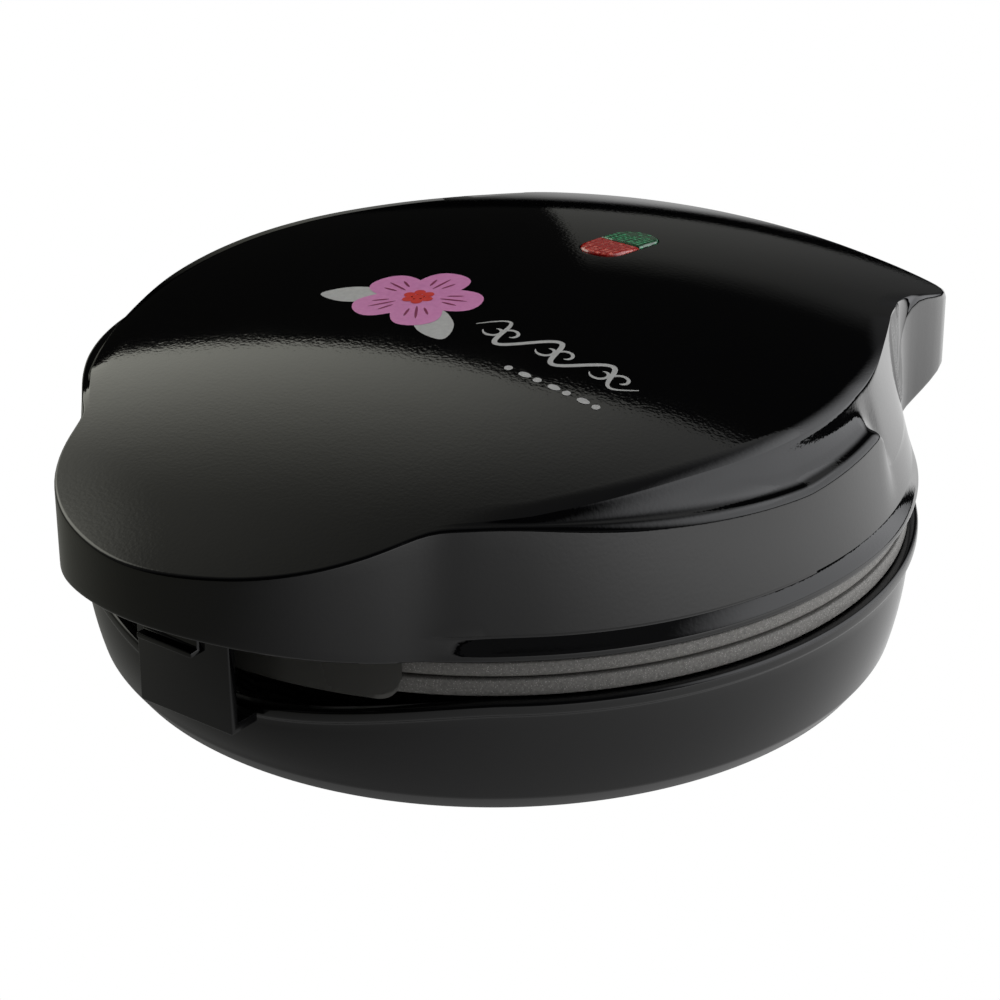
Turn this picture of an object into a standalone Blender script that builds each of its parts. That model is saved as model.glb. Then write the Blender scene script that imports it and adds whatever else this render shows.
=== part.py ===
"""Seven-cup cupcake maker: a round countertop cooker with a hinged lid.

The base is a shallow bowl that carries the lower baking plate.  The lid is a crowned cover with a
handle in front and a hinge block behind, and it carries the upper baking plate.  Metres, +Z up,
the front handle points to -Y and the hinge lies at +Y.
"""
import bpy
import bmesh
import math
from mathutils import Matrix, Vector

for old in list(bpy.data.objects):
    bpy.data.objects.remove(old, do_unlink=True)

# Driving dimensions of the whole machine
rim_radius = 0.112            # lip of the base, the widest round
handle_length = 0.0265        # how far the handle reaches out past the lip
hinge_block_length = 0.0150   # how far the hinge block reaches out past the lip
body_height = 0.0910          # underside of the base to the top of the lid
foot_height = 0.0030
base_height = 0.0320          # underside of the base to its lip
plate_step_height = 0.0050    # the base's lip to the seam between the plates
plate_rim_height = 0.0044
plate_inset = 0.0028          # the plates' edge lies inside the lip
lid_edge_clearance = 0.00035  # the upper plate's rim to the lid's lower edge
gap = 0.0003                  # between pieces that touch
overrun = 0.0010              # how far cutters reach past what they cut
segments = 64                 # facets around the body

# Heights from the underside of the base, and reaches from the body's axis
front_reach = rim_radius + handle_length
rear_reach = rim_radius + hinge_block_length
seam_height = base_height + plate_step_height
lid_edge_height = seam_height + gap / 2 + plate_rim_height + lid_edge_clearance
plate_radius = rim_radius - plate_inset

# The axis of the round body sits so that the machine's box is centred on the origin
axis_y = (front_reach - rear_reach) / 2

# Colours of the finishes
black_plastic = (0.010, 0.010, 0.012)
grey_coating = (0.10, 0.098, 0.092)
bare_aluminium = (0.62, 0.62, 0.63)
dark_steel = (0.30, 0.30, 0.31)
bright_steel = (0.62, 0.62, 0.63)
black_rubber = (0.03, 0.03, 0.03)
white_ceramic = (0.80, 0.78, 0.72)
signal_red = (0.65, 0.03, 0.03)
signal_green = (0.02, 0.33, 0.14)
clear_glass = (0.80, 0.60, 0.45)

machine = bpy.data.collections.new("cupcake_maker")
bpy.context.scene.collection.children.link(machine)
guides = bpy.data.collections.new("cutters")
bpy.context.scene.collection.children.link(guides)


def material(name, colour, roughness, metallic=0.0):
    """One Principled material per object."""
    made = bpy.data.materials.new(name + "_material")
    made.use_nodes = True
    shader = made.node_tree.nodes["Principled BSDF"]
    shader.inputs["Base Color"].default_value = (*colour, 1.0)
    shader.inputs["Roughness"].default_value = roughness
    shader.inputs["Metallic"].default_value = metallic
    return made


def empty(name, place, parent=None):
    """A parent that carries the pieces of one body."""
    made = bpy.data.objects.new(name, None)
    made.location = place
    made.parent = parent
    machine.objects.link(made)
    return made


def piece(name, mesh, parent, finish, smooth=True):
    """A named part of the machine."""
    made = bpy.data.objects.new(name, mesh)
    machine.objects.link(made)
    made.parent = parent
    mesh.materials.append(material(name, *finish))
    if smooth:
        mesh.shade_smooth()
        mesh.set_sharp_from_angle(angle=math.radians(35))
    return made


def cutter(name, mesh, parent):
    """A tool shape that cuts or joins, and is no part of the machine."""
    made = bpy.data.objects.new(name, mesh)
    guides.objects.link(made)
    made.parent = parent
    made.hide_render = True
    made.display_type = "WIRE"
    return made


def boolean(target, tool, operation):
    """Cut a tool out of a piece, or join it on."""
    made = target.modifiers.new(tool.name, "BOOLEAN")
    made.operation = operation
    made.solver = "EXACT"
    made.object = tool


def mesh_from(name, shape):
    """Close a bmesh into a mesh whose faces point out."""
    bmesh.ops.recalc_face_normals(shape, faces=shape.faces[:])
    made = bpy.data.meshes.new(name)
    shape.to_mesh(made)
    shape.free()
    return made


def add_cylinder(shape, radius, low, high, x=0.0, y=0.0, sides=16, top_radius=None):
    """A standing cylinder or cone from height low to height high."""
    place = Matrix.Translation((x, y, (low + high) / 2))
    bmesh.ops.create_cone(shape, cap_ends=True, segments=sides, radius1=radius,
                          radius2=radius if top_radius is None else top_radius,
                          depth=high - low, matrix=place)


def add_rod(shape, radius, start, end, y, z, sides=16):
    """A cylinder along X from start to end."""
    turn = Matrix.Rotation(math.radians(90), 4, "Y")
    place = Matrix.Translation(((start + end) / 2, y, z)) @ turn
    bmesh.ops.create_cone(shape, cap_ends=True, segments=sides, radius1=radius, radius2=radius,
                          depth=abs(end - start), matrix=place)


def add_box(shape, low, high):
    """A box between two corners."""
    middle = [(a + b) / 2 for a, b in zip(low, high)]
    size = [b - a for a, b in zip(low, high)]
    place = Matrix.Translation(middle) @ Matrix.Diagonal((*size, 1.0))
    bmesh.ops.create_cube(shape, size=1.0, matrix=place)


def loft(shape, rings, top, bottom):
    """Skin from ring to ring, closed by a point at either end."""
    made = [[shape.verts.new(point) for point in ring] for ring in rings]
    count = len(rings[0])
    for upper, lower in zip(made, made[1:]):
        for i in range(count):
            j = (i + 1) % count
            shape.faces.new((upper[i], lower[i], lower[j], upper[j]))
    for ring, point in ((made[0], top), (made[-1], bottom)):
        tip = shape.verts.new(point)
        for i in range(count):
            shape.faces.new((tip, ring[i], ring[(i + 1) % count]))


def extrude_x(shape, outline, start, end):
    """A solid from start to end along X, whose side view is the outline of (y, z) points."""
    face = shape.faces.new([shape.verts.new((start, y, z)) for y, z in outline])
    grown = bmesh.ops.extrude_face_region(shape, geom=[face])["geom"]
    moved = [part for part in grown if isinstance(part, bmesh.types.BMVert)]
    bmesh.ops.translate(shape, verts=moved, vec=(end - start, 0, 0))


def turned(name, profile, parent, finish, sides=segments):
    """A piece turned about the body's axis, from a closed profile of (radius, z)."""
    shape = bmesh.new()
    corners = [shape.verts.new((radius, 0, z)) for radius, z in profile]
    for a, b in zip(corners, corners[1:] + corners[:1]):
        if a.co.x > 0 or b.co.x > 0:
            shape.edges.new((a, b))
    mesh = bpy.data.meshes.new(name)
    shape.to_mesh(mesh)
    shape.free()
    made = piece(name, mesh, parent, finish, smooth=False)
    screw = made.modifiers.new("turn", "SCREW")
    screw.steps = sides
    screw.render_steps = sides
    screw.use_merge_vertices = True
    screw.merge_threshold = 0.00005
    screw.use_smooth_shade = False
    return made


def polar(radius, angle, z):
    return (radius * math.cos(angle), radius * math.sin(angle), z)


def smooth_step(value):
    value = min(max(value, 0.0), 1.0)
    return value * value * (3 - 2 * value)


angles = [math.tau * i / segments for i in range(segments)]

root = empty("machine_frame", (0, axis_y, foot_height))

# Base body: bowl, bottom cover, feet, plate, heater and latch keeper
base_taper = 0.0043           # the lip to the foot of the wall
base_bottom_radius = rim_radius - base_taper
base_edge_round = 0.0035
lip_height = 0.0032
lip_proud = 0.0020            # how far the lip stands out from the wall
lip_width = 0.0032
base_wall_top_radius = rim_radius - lip_proud
base_wall = 0.0026
dip_depth = 0.0095            # the lip sinks in front, where fingers reach under the handle
dip_half_width = 0.0700
floor_ring_width = 0.0277     # the floor runs in from the wall, around the bottom opening
bottom_opening_radius = base_bottom_radius - floor_ring_width
base_boss_radius = 0.0045
boss_inset = 0.0212           # the plates' edge to their screws, between the outer cups
boss_ring_radius = plate_radius - boss_inset
screw_radius = 0.0016
screw_head_radius = 0.0032
plate_rim_width = 0.0045
plate_web = 0.0022
web_drop = 0.0012             # the web lies below the rim, to catch what spills
plate_margin = 0.0142         # the plates' edge to the outer cups
cup_count = 6                 # around the one in the middle
cup_spacing = 0.0110          # between the middle cup and the outer ones
cup_radius = (plate_radius - plate_margin - cup_spacing) / 3
cup_ring_radius = 2 * cup_radius + cup_spacing
cup_taper = 0.0065            # how much narrower a cup is at its foot
cup_foot_radius = cup_radius - cup_taper
cup_wall = 0.0018
cup_sides = 20
dome_taper = 0.0090
dome_foot_radius = cup_radius - dome_taper
dome_depth = 0.0140
element_ring_radius = cup_ring_radius / 2    # the heater runs around the middle cup
element_radius = 0.0029
element_leg_length = 0.0120
reflector_sheet = 0.0008
reflector_floor_height = 0.0059    # above the base's floor
cup_clearance = 0.00055       # the cups' feet to the reflector
reflector_floor_z = base_wall + reflector_floor_height
web_top = seam_height - gap / 2 - web_drop
cup_depth = web_top - cup_wall - cup_clearance - reflector_sheet - reflector_floor_z
element_opening = math.radians(24)
element_points = 26

cup_places = [(0.0, 0.0)]
for step in range(cup_count):
    turn = math.tau * step / cup_count
    cup_places.append((cup_ring_radius * math.cos(turn), cup_ring_radius * math.sin(turn)))
boss_angles = [math.radians(a) for a in (30, 150, 270)]
boss_places = [(boss_ring_radius * math.cos(a), boss_ring_radius * math.sin(a)) for a in boss_angles]


def lip_level(angle):
    """Height of the base's lip, which dips at the front."""
    x = abs(rim_radius * math.cos(angle))
    if math.sin(angle) > 0 or x > dip_half_width:
        return base_height
    return base_height - dip_depth * smooth_step(1 - x / dip_half_width) ** 0.8


def base_rings():
    """Rings from the middle of the underside, up the wall, over the lip and down inside."""
    outside = [(bottom_opening_radius, 0.0), (base_bottom_radius - base_edge_round, 0.0),
               (base_bottom_radius - base_edge_round * 0.3, base_edge_round * 0.3),
               (base_bottom_radius, base_edge_round)]
    rings = [[polar(r, a, z) for a in angles] for r, z in outside]
    lower_lip = [(base_wall_top_radius, -lip_height - lip_proud), (rim_radius, -lip_height),
                 (rim_radius, -lip_proud * 0.3), (rim_radius - lip_proud * 0.3, 0.0),
                 (rim_radius - lip_width, 0.0)]
    rings += [[polar(r, a, lip_level(a) + z) for a in angles] for r, z in lower_lip]
    inner_top = base_wall_top_radius - base_wall
    rings.append([polar(inner_top, a, lip_level(a) - lip_height) for a in angles])
    inner_foot = base_bottom_radius - base_wall
    rings.append([polar(inner_foot, a, base_edge_round) for a in angles])
    rings.append([polar(inner_foot - base_wall, a, base_wall) for a in angles])
    rings.append([polar(bottom_opening_radius, a, base_wall) for a in angles])
    return rings


def ring_body(shape, rings):
    """Skin a closed run of rings, the last joined to the first."""
    made = [[shape.verts.new(point) for point in ring] for ring in rings]
    count = len(rings[0])
    for upper, lower in zip(made, made[1:] + made[:1]):
        for i in range(count):
            j = (i + 1) % count
            shape.faces.new((upper[i], upper[j], lower[j], lower[i]))


# Hinge across the back, shared by base and lid
hinge_clearance = 0.0030      # the pins lie behind the lip
hinge_rise = 0.0040           # and above the seam
hinge_y = rim_radius + hinge_clearance
hinge_z = seam_height + hinge_rise
knuckle_radius = 0.0055
ear_inner = 0.0300
ear_width = 0.0100
ear_outer = ear_inner + ear_width
lug_width = 0.0107
lug_outer = ear_inner - gap
lug_inner = lug_outer - lug_width
pin_radius = 0.0022
pin_sides = 12
ear_clearance = 0.0010        # to the plates' edge
ear_front_y = math.sqrt(plate_radius ** 2 - ear_inner ** 2) + ear_clearance
wall_inset = 0.0067           # how far the ears and the gland reach into the wall's foot
ear_root_y = base_bottom_radius - wall_inset
ear_foot_z = 0.0140

# Cord inlet through the back wall
gland_z = 0.0150
gland_neck_radius = 0.0055
gland_flange_radius = 0.0080
gland_bore_radius = 0.0036
gland_flange = 0.0020
gland_inner_y = base_bottom_radius - wall_inset
gland_flange_y = base_wall_top_radius

base = empty("base_frame", (0, 0, 0), root)
black = (black_plastic, 0.12)
coated = (grey_coating, 0.55, 0.3)

shape = bmesh.new()
ring_body(shape, base_rings())
housing = piece("base_housing", mesh_from("base_housing", shape), base, black)

# Bosses rise from the floor to the plate, with holes for the plate's screws
web_under = web_top - plate_web
shape = bmesh.new()
for x, y in boss_places:
    add_cylinder(shape, base_boss_radius, base_wall / 2, web_under - gap, x, y, 12)
for side in (-1, 1):
    add_rod(shape, knuckle_radius, side * ear_inner, side * ear_outer, hinge_y, hinge_z)
boolean(housing, cutter("base_bosses", mesh_from("base_bosses", shape), base), "UNION")

ear_back_y = hinge_y + knuckle_radius * 0.7
ear_step_z = base_height - overrun / 2
ear_outline = [(ear_root_y, ear_foot_z), (base_bottom_radius + overrun, ear_foot_z),
               (ear_back_y, base_height), (ear_back_y, hinge_z), (ear_front_y, hinge_z),
               (ear_front_y, ear_step_z), (ear_root_y, ear_step_z)]
shape = bmesh.new()
for side in (-1, 1):
    extrude_x(shape, ear_outline, side * ear_inner, side * ear_outer)
boolean(housing, cutter("hinge_ears", mesh_from("hinge_ears", shape), base), "UNION")

screw_hole_depth = 0.0120
shape = bmesh.new()
for x, y in boss_places:
    add_cylinder(shape, screw_radius + gap, web_under - screw_hole_depth, web_under + overrun, x, y, 10)
add_rod(shape, pin_radius + gap, -ear_outer - overrun, ear_outer + overrun, hinge_y, hinge_z, pin_sides)
neck = Matrix.Translation((0, (gland_inner_y + gland_flange_y) / 2, gland_z))
bmesh.ops.create_cone(shape, cap_ends=True, segments=16, radius1=gland_neck_radius + gap,
                      radius2=gland_neck_radius + gap, depth=gland_flange_y - gland_inner_y + 2 * overrun,
                      matrix=neck @ Matrix.Rotation(math.radians(90), 4, "X"))
boolean(housing, cutter("base_holes", mesh_from("base_holes", shape), base), "DIFFERENCE")

# Bottom cover, screwed up into the floor
cover_lap = 0.0060            # over the floor, outside the opening
cover_radius = bottom_opening_radius + cover_lap
cover_thickness = 0.0014
cover_screw_inset = 0.0035
cover_screw_circle = cover_radius - cover_screw_inset
cover_screw_angles = [math.radians(a) for a in (90, 210, 330)]
cover_screw_places = [polar(cover_screw_circle, a, 0.0)[:2] for a in cover_screw_angles]
cover_under = -gap - cover_thickness
cover = turned("bottom_cover", [(0.0, -gap), (cover_radius, -gap), (cover_radius, cover_under),
                                (0.0, cover_under)], base, (black_plastic, 0.4), 48)

def add_stepped(shape, profile, x=0.0, y=0.0, sides=16):
    """A standing turned solid; the profile lists (radius, z) from one end to the other."""
    turns = [math.tau * i / sides for i in range(sides)]
    rings = [[(x + r * math.cos(a), y + r * math.sin(a), z) for a in turns] for r, z in profile]
    loft(shape, rings, (x, y, profile[0][1]), (x, y, profile[-1][1]))


def screw_set(name, places, profile, parent):
    """Identical screws, numbered from one, on one turned profile of (radius, z)."""
    for number, (x, y) in enumerate(places, 1):
        shape = bmesh.new()
        add_stepped(shape, profile, 0.0, 0.0, 10)
        label = f"{name}_{number}"
        made = piece(label, mesh_from(label, shape), parent, (bright_steel, 0.35, 1.0), smooth=False)
        made.location = (x, y, 0)


cover_screw_tip = base_wall + 2 * gap
shape = bmesh.new()
for x, y in cover_screw_places:
    add_cylinder(shape, screw_radius + gap, cover_under - overrun, base_wall + overrun, x, y, 10)
holes = cutter("cover_screw_holes", mesh_from("cover_screw_holes", shape), base)
boolean(cover, holes, "DIFFERENCE")
boolean(housing, holes, "DIFFERENCE")
head = cover_under - gap
screw_set("bottom_cover_screw", cover_screw_places,
          [(screw_radius, cover_screw_tip), (screw_radius, head), (screw_head_radius, head),
           (screw_head_radius, head - foot_height * 0.3)], base)

# Four rubber feet under the floor's edge
foot_radius = 0.0065
foot_circle = cover_radius + foot_radius + 2 * gap
foot_names = ("front_left_foot", "front_right_foot", "rear_right_foot", "rear_left_foot")
for name, turn in zip(foot_names, (225, 315, 45, 135)):
    shape = bmesh.new()
    add_cylinder(shape, foot_radius * 0.85, -foot_height, -gap, 0, 0, 16, foot_radius)
    foot = piece(name, mesh_from(name, shape), base, (black_rubber, 0.8))
    foot.location = polar(foot_circle, math.radians(turn), 0.0)


def plate_profile(seam, up):
    """Half section of a baking plate: web, and a rim from the seam away from it."""
    web = seam - up * web_drop
    back = web - up * plate_web
    edge = seam - up * plate_rim_height
    inner = plate_radius - plate_rim_width
    return [(0.0, web), (inner - web_drop, web), (inner, seam), (plate_radius, seam),
            (plate_radius, edge), (plate_radius - plate_web, edge), (plate_radius - plate_web, back),
            (0.0, back)]


def cup_shapes(web, up, foot_radius_here, depth, grow, reach):
    """Seven cones: cup insides, or with grow their outsides."""
    shape = bmesh.new()
    slope = (cup_radius - foot_radius_here) / depth
    for x, y in cup_places:
        mouth = web + up * reach
        foot = web - up * (depth + grow)
        wide = cup_radius + grow + slope * reach
        narrow = foot_radius_here + grow - slope * grow
        low, high = min(mouth, foot), max(mouth, foot)
        bottom, top = (narrow, wide) if up > 0 else (wide, narrow)
        add_cylinder(shape, bottom, low, high, x, y, cup_sides, top)
    return shape


def baking_plate(name, seam, up, foot_radius_here, depth, parent):
    """A cast plate with seven wells and three countersunk screw holes."""
    profile = plate_profile(seam, up)
    if up < 0:
        profile = profile[::-1]
    made = turned(name, profile, parent, coated)
    web = seam - up * web_drop
    outer = cup_shapes(web - up * overrun, up, foot_radius_here, depth - overrun, cup_wall, 0.0)
    boolean(made, cutter(name + "_wells", mesh_from(name + "_wells", outer), parent), "UNION")
    inner = cup_shapes(web, up, foot_radius_here, depth, 0.0, overrun)
    for x, y in boss_places:
        back = web - up * (plate_web + overrun)
        front = web + up * overrun
        add_cylinder(inner, screw_radius + gap, min(back, front), max(back, front), x, y, 10)
    boolean(made, cutter(name + "_hollows", mesh_from(name + "_hollows", inner), parent), "DIFFERENCE")
    return made


lower_seam = seam_height - gap / 2
baking_plate("lower_baking_plate", lower_seam, 1, cup_foot_radius, cup_depth, base)


def plate_screws(name, seam, up, parent):
    """Screws that pass through a plate into the bosses behind it."""
    web = seam - up * web_drop
    face = web + up * gap
    tip = web - up * (plate_web + screw_hole_depth - 4 * gap)
    screw_set(name, boss_places, [(screw_radius, tip), (screw_radius, face), (screw_head_radius, face),
                                  (screw_head_radius, seam)], parent)


def heating_element(name, web, up, parent):
    """A sheathed heater bent to an open ring, with a leg down at each end."""
    level = web - up * (element_radius + 2 * gap)
    path = []
    start = math.pi / 2 + element_opening
    sweep = math.tau - 2 * element_opening
    for i in range(element_points):
        path.append(polar(element_ring_radius, start + sweep * i / (element_points - 1), level))
    bend = element_radius
    for end, neighbour in ((0, 1), (-1, -2)):
        last = Vector(path[end])
        along = (last - Vector(path[neighbour])).normalized() * bend
        corner = last + along
        leg = [corner - Vector((0, 0, up * bend)), corner - Vector((0, 0, up * element_leg_length))]
        if end == 0:
            path = [tuple(leg[1]), tuple(leg[0])] + path
        else:
            path = path + [tuple(leg[0]), tuple(leg[1])]
    curve = bpy.data.curves.new(name, "CURVE")
    curve.dimensions = "3D"
    curve.bevel_depth = element_radius
    curve.bevel_resolution = 1
    curve.use_fill_caps = True
    spline = curve.splines.new("POLY")
    spline.points.add(len(path) - 1)
    for point, place in zip(spline.points, path):
        point.co = (*place, 1.0)
    made = bpy.data.objects.new(name, curve)
    machine.objects.link(made)
    made.parent = parent
    curve.materials.append(material(name, dark_steel, 0.35, 1.0))
    return made


plate_screws("lower_plate_screw", lower_seam, 1, base)
heating_element("lower_heating_element", web_under, 1, base)

# Reflector dish below the cups, hung under the plate's edge
reflector_inset = 0.0047      # the plates' edge to the flange's edge
reflector_flange_width = 0.0045
reflector_slope_width = 0.0070
reflector_flange_radius = plate_radius - reflector_inset
reflector_mouth_radius = reflector_flange_radius - reflector_flange_width
reflector_floor_radius = reflector_mouth_radius - reflector_slope_width


def reflector(name, near, far, up, parent):
    """A pressed dish between the plate at height near and the floor at height far."""
    sheet = up * reflector_sheet
    profile = [(0.0, far + sheet), (reflector_floor_radius, far + sheet),
               (reflector_mouth_radius, near), (reflector_flange_radius, near),
               (reflector_flange_radius, near - sheet),
               (reflector_mouth_radius + reflector_sheet, near - sheet),
               (reflector_floor_radius + reflector_sheet, far), (0.0, far)]
    if up < 0:
        profile = profile[::-1]
    made = turned(name, profile, parent, (bare_aluminium, 0.3, 1.0), 36)
    shape = bmesh.new()
    low, high = min(far, near), max(far, near)
    for x, y in boss_places:
        add_cylinder(shape, base_boss_radius + gap, low - overrun, high + overrun, x, y, 12)
    boolean(made, cutter(name + "_holes", mesh_from(name + "_holes", shape), parent), "DIFFERENCE")
    return made


reflector("lower_reflector", web_under - gap, reflector_floor_z, 1, base)

# Thermostat and thermal fuse under the web, between the outer cups
thermostat_radius = 0.0070
thermostat_height = 0.0065
thermostat_tab = 0.0040
shape = bmesh.new()
seat = web_under - gap
add_stepped(shape, [(thermostat_radius, seat), (thermostat_radius, seat - thermostat_height),
                    (thermostat_radius * 0.7, seat - thermostat_height),
                    (thermostat_radius * 0.7, seat - thermostat_height - thermostat_tab)])
thermostat = piece("thermostat", mesh_from("thermostat", shape), base, (white_ceramic, 0.6))
thermostat.location = (0, boss_ring_radius, 0)

fuse_radius = 0.0022
fuse_length = 0.0200
shape = bmesh.new()
add_rod(shape, fuse_radius, -fuse_length / 2, fuse_length / 2, 0, 0, 12)
fuse = piece("thermal_fuse", mesh_from("thermal_fuse", shape), base, (bright_steel, 0.4, 1.0))
fuse_turn = math.radians(210)
fuse.location = polar(boss_ring_radius + fuse_radius, fuse_turn, seat - fuse_radius)
fuse.rotation_euler = (0, 0, fuse_turn + math.pi / 2)

# Terminal block on the floor, where the cord's wires end
block_size = (0.0140, 0.0036, 0.0080)
block_inset = 0.0109          # from the wall's foot
block_circle = base_bottom_radius - block_inset
block_turn = math.radians(68)
shape = bmesh.new()
add_box(shape, (-block_size[0] / 2, -block_size[1] / 2, 0),
        (block_size[0] / 2, block_size[1] / 2, block_size[2]))
block = piece("terminal_block", mesh_from("terminal_block", shape), base, (white_ceramic, 0.5), smooth=False)
block.location = polar(block_circle, block_turn, base_wall + gap)
block.rotation_euler = (0, 0, block_turn + math.pi / 2)

# Gland that lines the cord's hole in the back wall
shape = bmesh.new()
gland_end = gland_flange_y + gland_flange - gland_inner_y
add_stepped(shape, [(gland_neck_radius, 0), (gland_neck_radius, gland_flange_y - gland_inner_y),
                    (gland_flange_radius, gland_flange_y - gland_inner_y), (gland_flange_radius, gland_end)])
gland = piece("cord_gland", mesh_from("cord_gland", shape), base, (black_rubber, 0.6))
gland.location = (0, gland_inner_y, gland_z)
gland.rotation_euler = (-math.pi / 2, 0, 0)
shape = bmesh.new()
add_cylinder(shape, gland_bore_radius, -overrun, gland_end + overrun)
bore = cutter("gland_bore", mesh_from("gland_bore", shape), base)
bore.location = gland.location
bore.rotation_euler = gland.rotation_euler
boolean(gland, bore, "DIFFERENCE")

# Outside of the lid
drum_radius = plate_radius + gap    # round wall of the lid
shoulder_step = 0.0020
shoulder_radius = drum_radius - shoulder_step
edge_round = 0.0012
lid_wall = 0.0025
crease_height = 0.0060        # above the lid's lower edge, where its wall starts to turn in
crown_middle_y = 0.0137       # highest point of the crown behind the body's axis
crown_front_share = 0.112     # how fast the crown falls, per rim radius
crown_rear_share = 0.155
crown_side_share = 0.127
shoulder_drop = 0.0214        # below the top of the lid, at the sides
shoulder_climb = 0.0064       # toward the handle and the hinge
side_share = 0.878            # reach of the top's edge, as shares of the rim radius
front_share = front_reach / rim_radius
rear_share = rear_reach / rim_radius
# Angle from straight right, and reach: handle, waist, side, waist, hinge block
outline_shares = [(-90, front_share), (-80, 0.974 * front_share), (-72, 0.925 * front_share),
                  (-66, 0.867 * front_share), (-60, 0.799 * front_share), (-55, 1.100 * side_share),
                  (-50, 1.075 * side_share), (-40, 1.036 * side_share), (-25, side_share),
                  (-10, side_share), (5, 1.006 * side_share), (20, 1.010 * side_share),
                  (32, 1.021 * side_share), (42, 1.057 * side_share), (48, 1.100 * side_share),
                  (53, 1.175 * side_share), (57, 0.998 * rear_share), (60.5, 1.076 * rear_share),
                  (65, 1.066 * rear_share), (75, 1.022 * rear_share), (90, rear_share)]


def top_reach(angle):
    """Reach of the top's edge, alike on the left and the right."""
    turn = math.degrees(math.atan2(math.sin(angle), abs(math.cos(angle))))
    for (a, low), (b, high) in zip(outline_shares, outline_shares[1:]):
        if turn <= b:
            part = (turn - a) / (b - a)
            before = outline_shares[max(outline_shares.index((a, low)) - 1, 0)]
            after = outline_shares[min(outline_shares.index((b, high)) + 1, len(outline_shares) - 1)]
            slope_low = (high - before[1]) / (b - before[0]) * (b - a)
            slope_high = (after[1] - low) / (after[0] - a) * (b - a)
            if before == (a, low):
                slope_low = 0.0
            if after == (b, high):
                slope_high = 0.0
            square, cube = part ** 2, part ** 3
            share = ((2 * cube - 3 * square + 1) * low + (cube - 2 * square + part) * slope_low
                     + (3 * square - 2 * cube) * high + (cube - square) * slope_high)
            return share * rim_radius
    return outline_shares[-1][1] * rim_radius


def crown(x, y):
    """Height of the lid's top."""
    away = (y - crown_middle_y) / rim_radius
    fall = crown_front_share if away < 0 else crown_rear_share
    return body_height - rim_radius * (fall * away ** 2 + crown_side_share * (x / rim_radius) ** 2)


# The handle thins toward its tip, and the lower edge climbs from the drum to meet it
handle_height = 0.01494
handle_cover_rise = 0.0005    # the lid's lower edge at the tip to the cover inside it
tip_edge_z = crown(0, -front_reach) - handle_height
lip_rise_share = (tip_edge_z - lid_edge_height) / (front_reach - drum_radius)
handle_cover_under = tip_edge_z + handle_cover_rise

# Latch keeper: an upright tongue in front of the bowl, on a short floor
keeper_stand = 0.0095         # in front of the lip
keeper_drop = 0.0028          # below the lip's dip
keeper_clearance = 0.0044     # below the handle's lower cover
keeper_y = -rim_radius - keeper_stand
keeper_half_width = 0.0149
keeper_sheet = 0.0025
keeper_foot_z = base_height - dip_depth - keeper_drop
keeper_top_z = handle_cover_under - keeper_clearance
keeper_ledge = 0.0040
keeper_ledge_height = 0.0030
keeper_back_y = -rim_radius - gap
shape = bmesh.new()
extrude_x(shape, [(keeper_y, keeper_foot_z), (keeper_back_y, keeper_foot_z),
                  (keeper_back_y, keeper_foot_z + keeper_sheet),
                  (keeper_y + keeper_sheet, keeper_foot_z + keeper_sheet),
                  (keeper_y + keeper_sheet, keeper_top_z),
                  (keeper_y - keeper_ledge * 0.6, keeper_top_z),
                  (keeper_y - keeper_ledge, keeper_top_z - keeper_ledge_height * 0.6),
                  (keeper_y - keeper_ledge, keeper_top_z - keeper_ledge_height),
                  (keeper_y, keeper_top_z - keeper_ledge_height)],
          -keeper_half_width, keeper_half_width)
piece("latch_keeper", mesh_from("latch_keeper", shape), base, black, smooth=False)

# Hinge pins
for name, side in (("left_hinge_pin", -1), ("right_hinge_pin", 1)):
    shape = bmesh.new()
    add_rod(shape, pin_radius, side * lug_inner, side * (ear_outer + gap), hinge_y, hinge_z, pin_sides)
    piece(name, mesh_from(name, shape), base, (bright_steel, 0.3, 1.0))

# Lid body: crowned cover, upper plate and heater, lamps, handle and hinge bracket


def lid_section(angle, inset):
    """Points (radius, z) from the crown down the lid's side, set in by a wall."""
    reach = top_reach(angle)
    cosine, sine = math.cos(angle), math.sin(angle)
    points = []
    for share in (0.30, 0.55, 0.78, 0.93):
        r = reach * share
        points.append((r, crown(r * cosine, r * sine) - inset))
    edge = crown(reach * cosine, reach * sine)
    points.append((reach - edge_round - inset, crown((reach - edge_round) * cosine, (reach - edge_round) * sine)
                   - inset))
    points.append((reach - inset, edge - edge_round - inset))
    shoulder = max(shoulder_radius, reach)
    drum = max(drum_radius, reach)
    shoulder_z = min(body_height - shoulder_drop + shoulder_climb * abs(sine), edge - 3 * edge_round)
    for across, down in ((0.18, 0.50), (0.52, 0.86), (1.0, 1.0)):
        z = edge - edge_round + (shoulder_z - edge + edge_round) * down - inset
        points.append((reach + (shoulder - reach) * across - inset, z))
    lower = lid_edge_height + lip_rise_share * max(reach - drum_radius, 0.0)
    points.append((drum - inset, lower + crease_height))
    points.append((drum - inset, lower + edge_round))
    return points, lower


def lid_cover_shape():
    """The lid's shell: its outside from the crown to the lower edge, and back up inside."""
    outer, inner, edges = [], [], []
    for angle in angles:
        outside, lower = lid_section(angle, 0.0)
        inside, lower = lid_section(angle, lid_wall)
        outer.append([polar(r, angle, z) for r, z in outside])
        inner.append([polar(r, angle, z) for r, z in inside])
        foot = outside[-1][0]
        edges.append([polar(foot - edge_round, angle, lower), polar(foot - lid_wall, angle, lower)])
    rings = [list(ring) for ring in zip(*outer)] + [list(ring) for ring in zip(*edges)]
    rings += [list(ring) for ring in zip(*inner)][::-1]
    shape = bmesh.new()
    loft(shape, rings, (0, 0, crown(0, 0)), (0, 0, crown(0, 0) - lid_wall))
    return shape


lid = empty("lid_frame", (0, hinge_y, hinge_z), root)
lid_inner = empty("lid_inner_frame", (0, -hinge_y, -hinge_z), lid)
cover_shell = piece("lid_cover", mesh_from("lid_cover", lid_cover_shape()), lid_inner, black)

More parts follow.
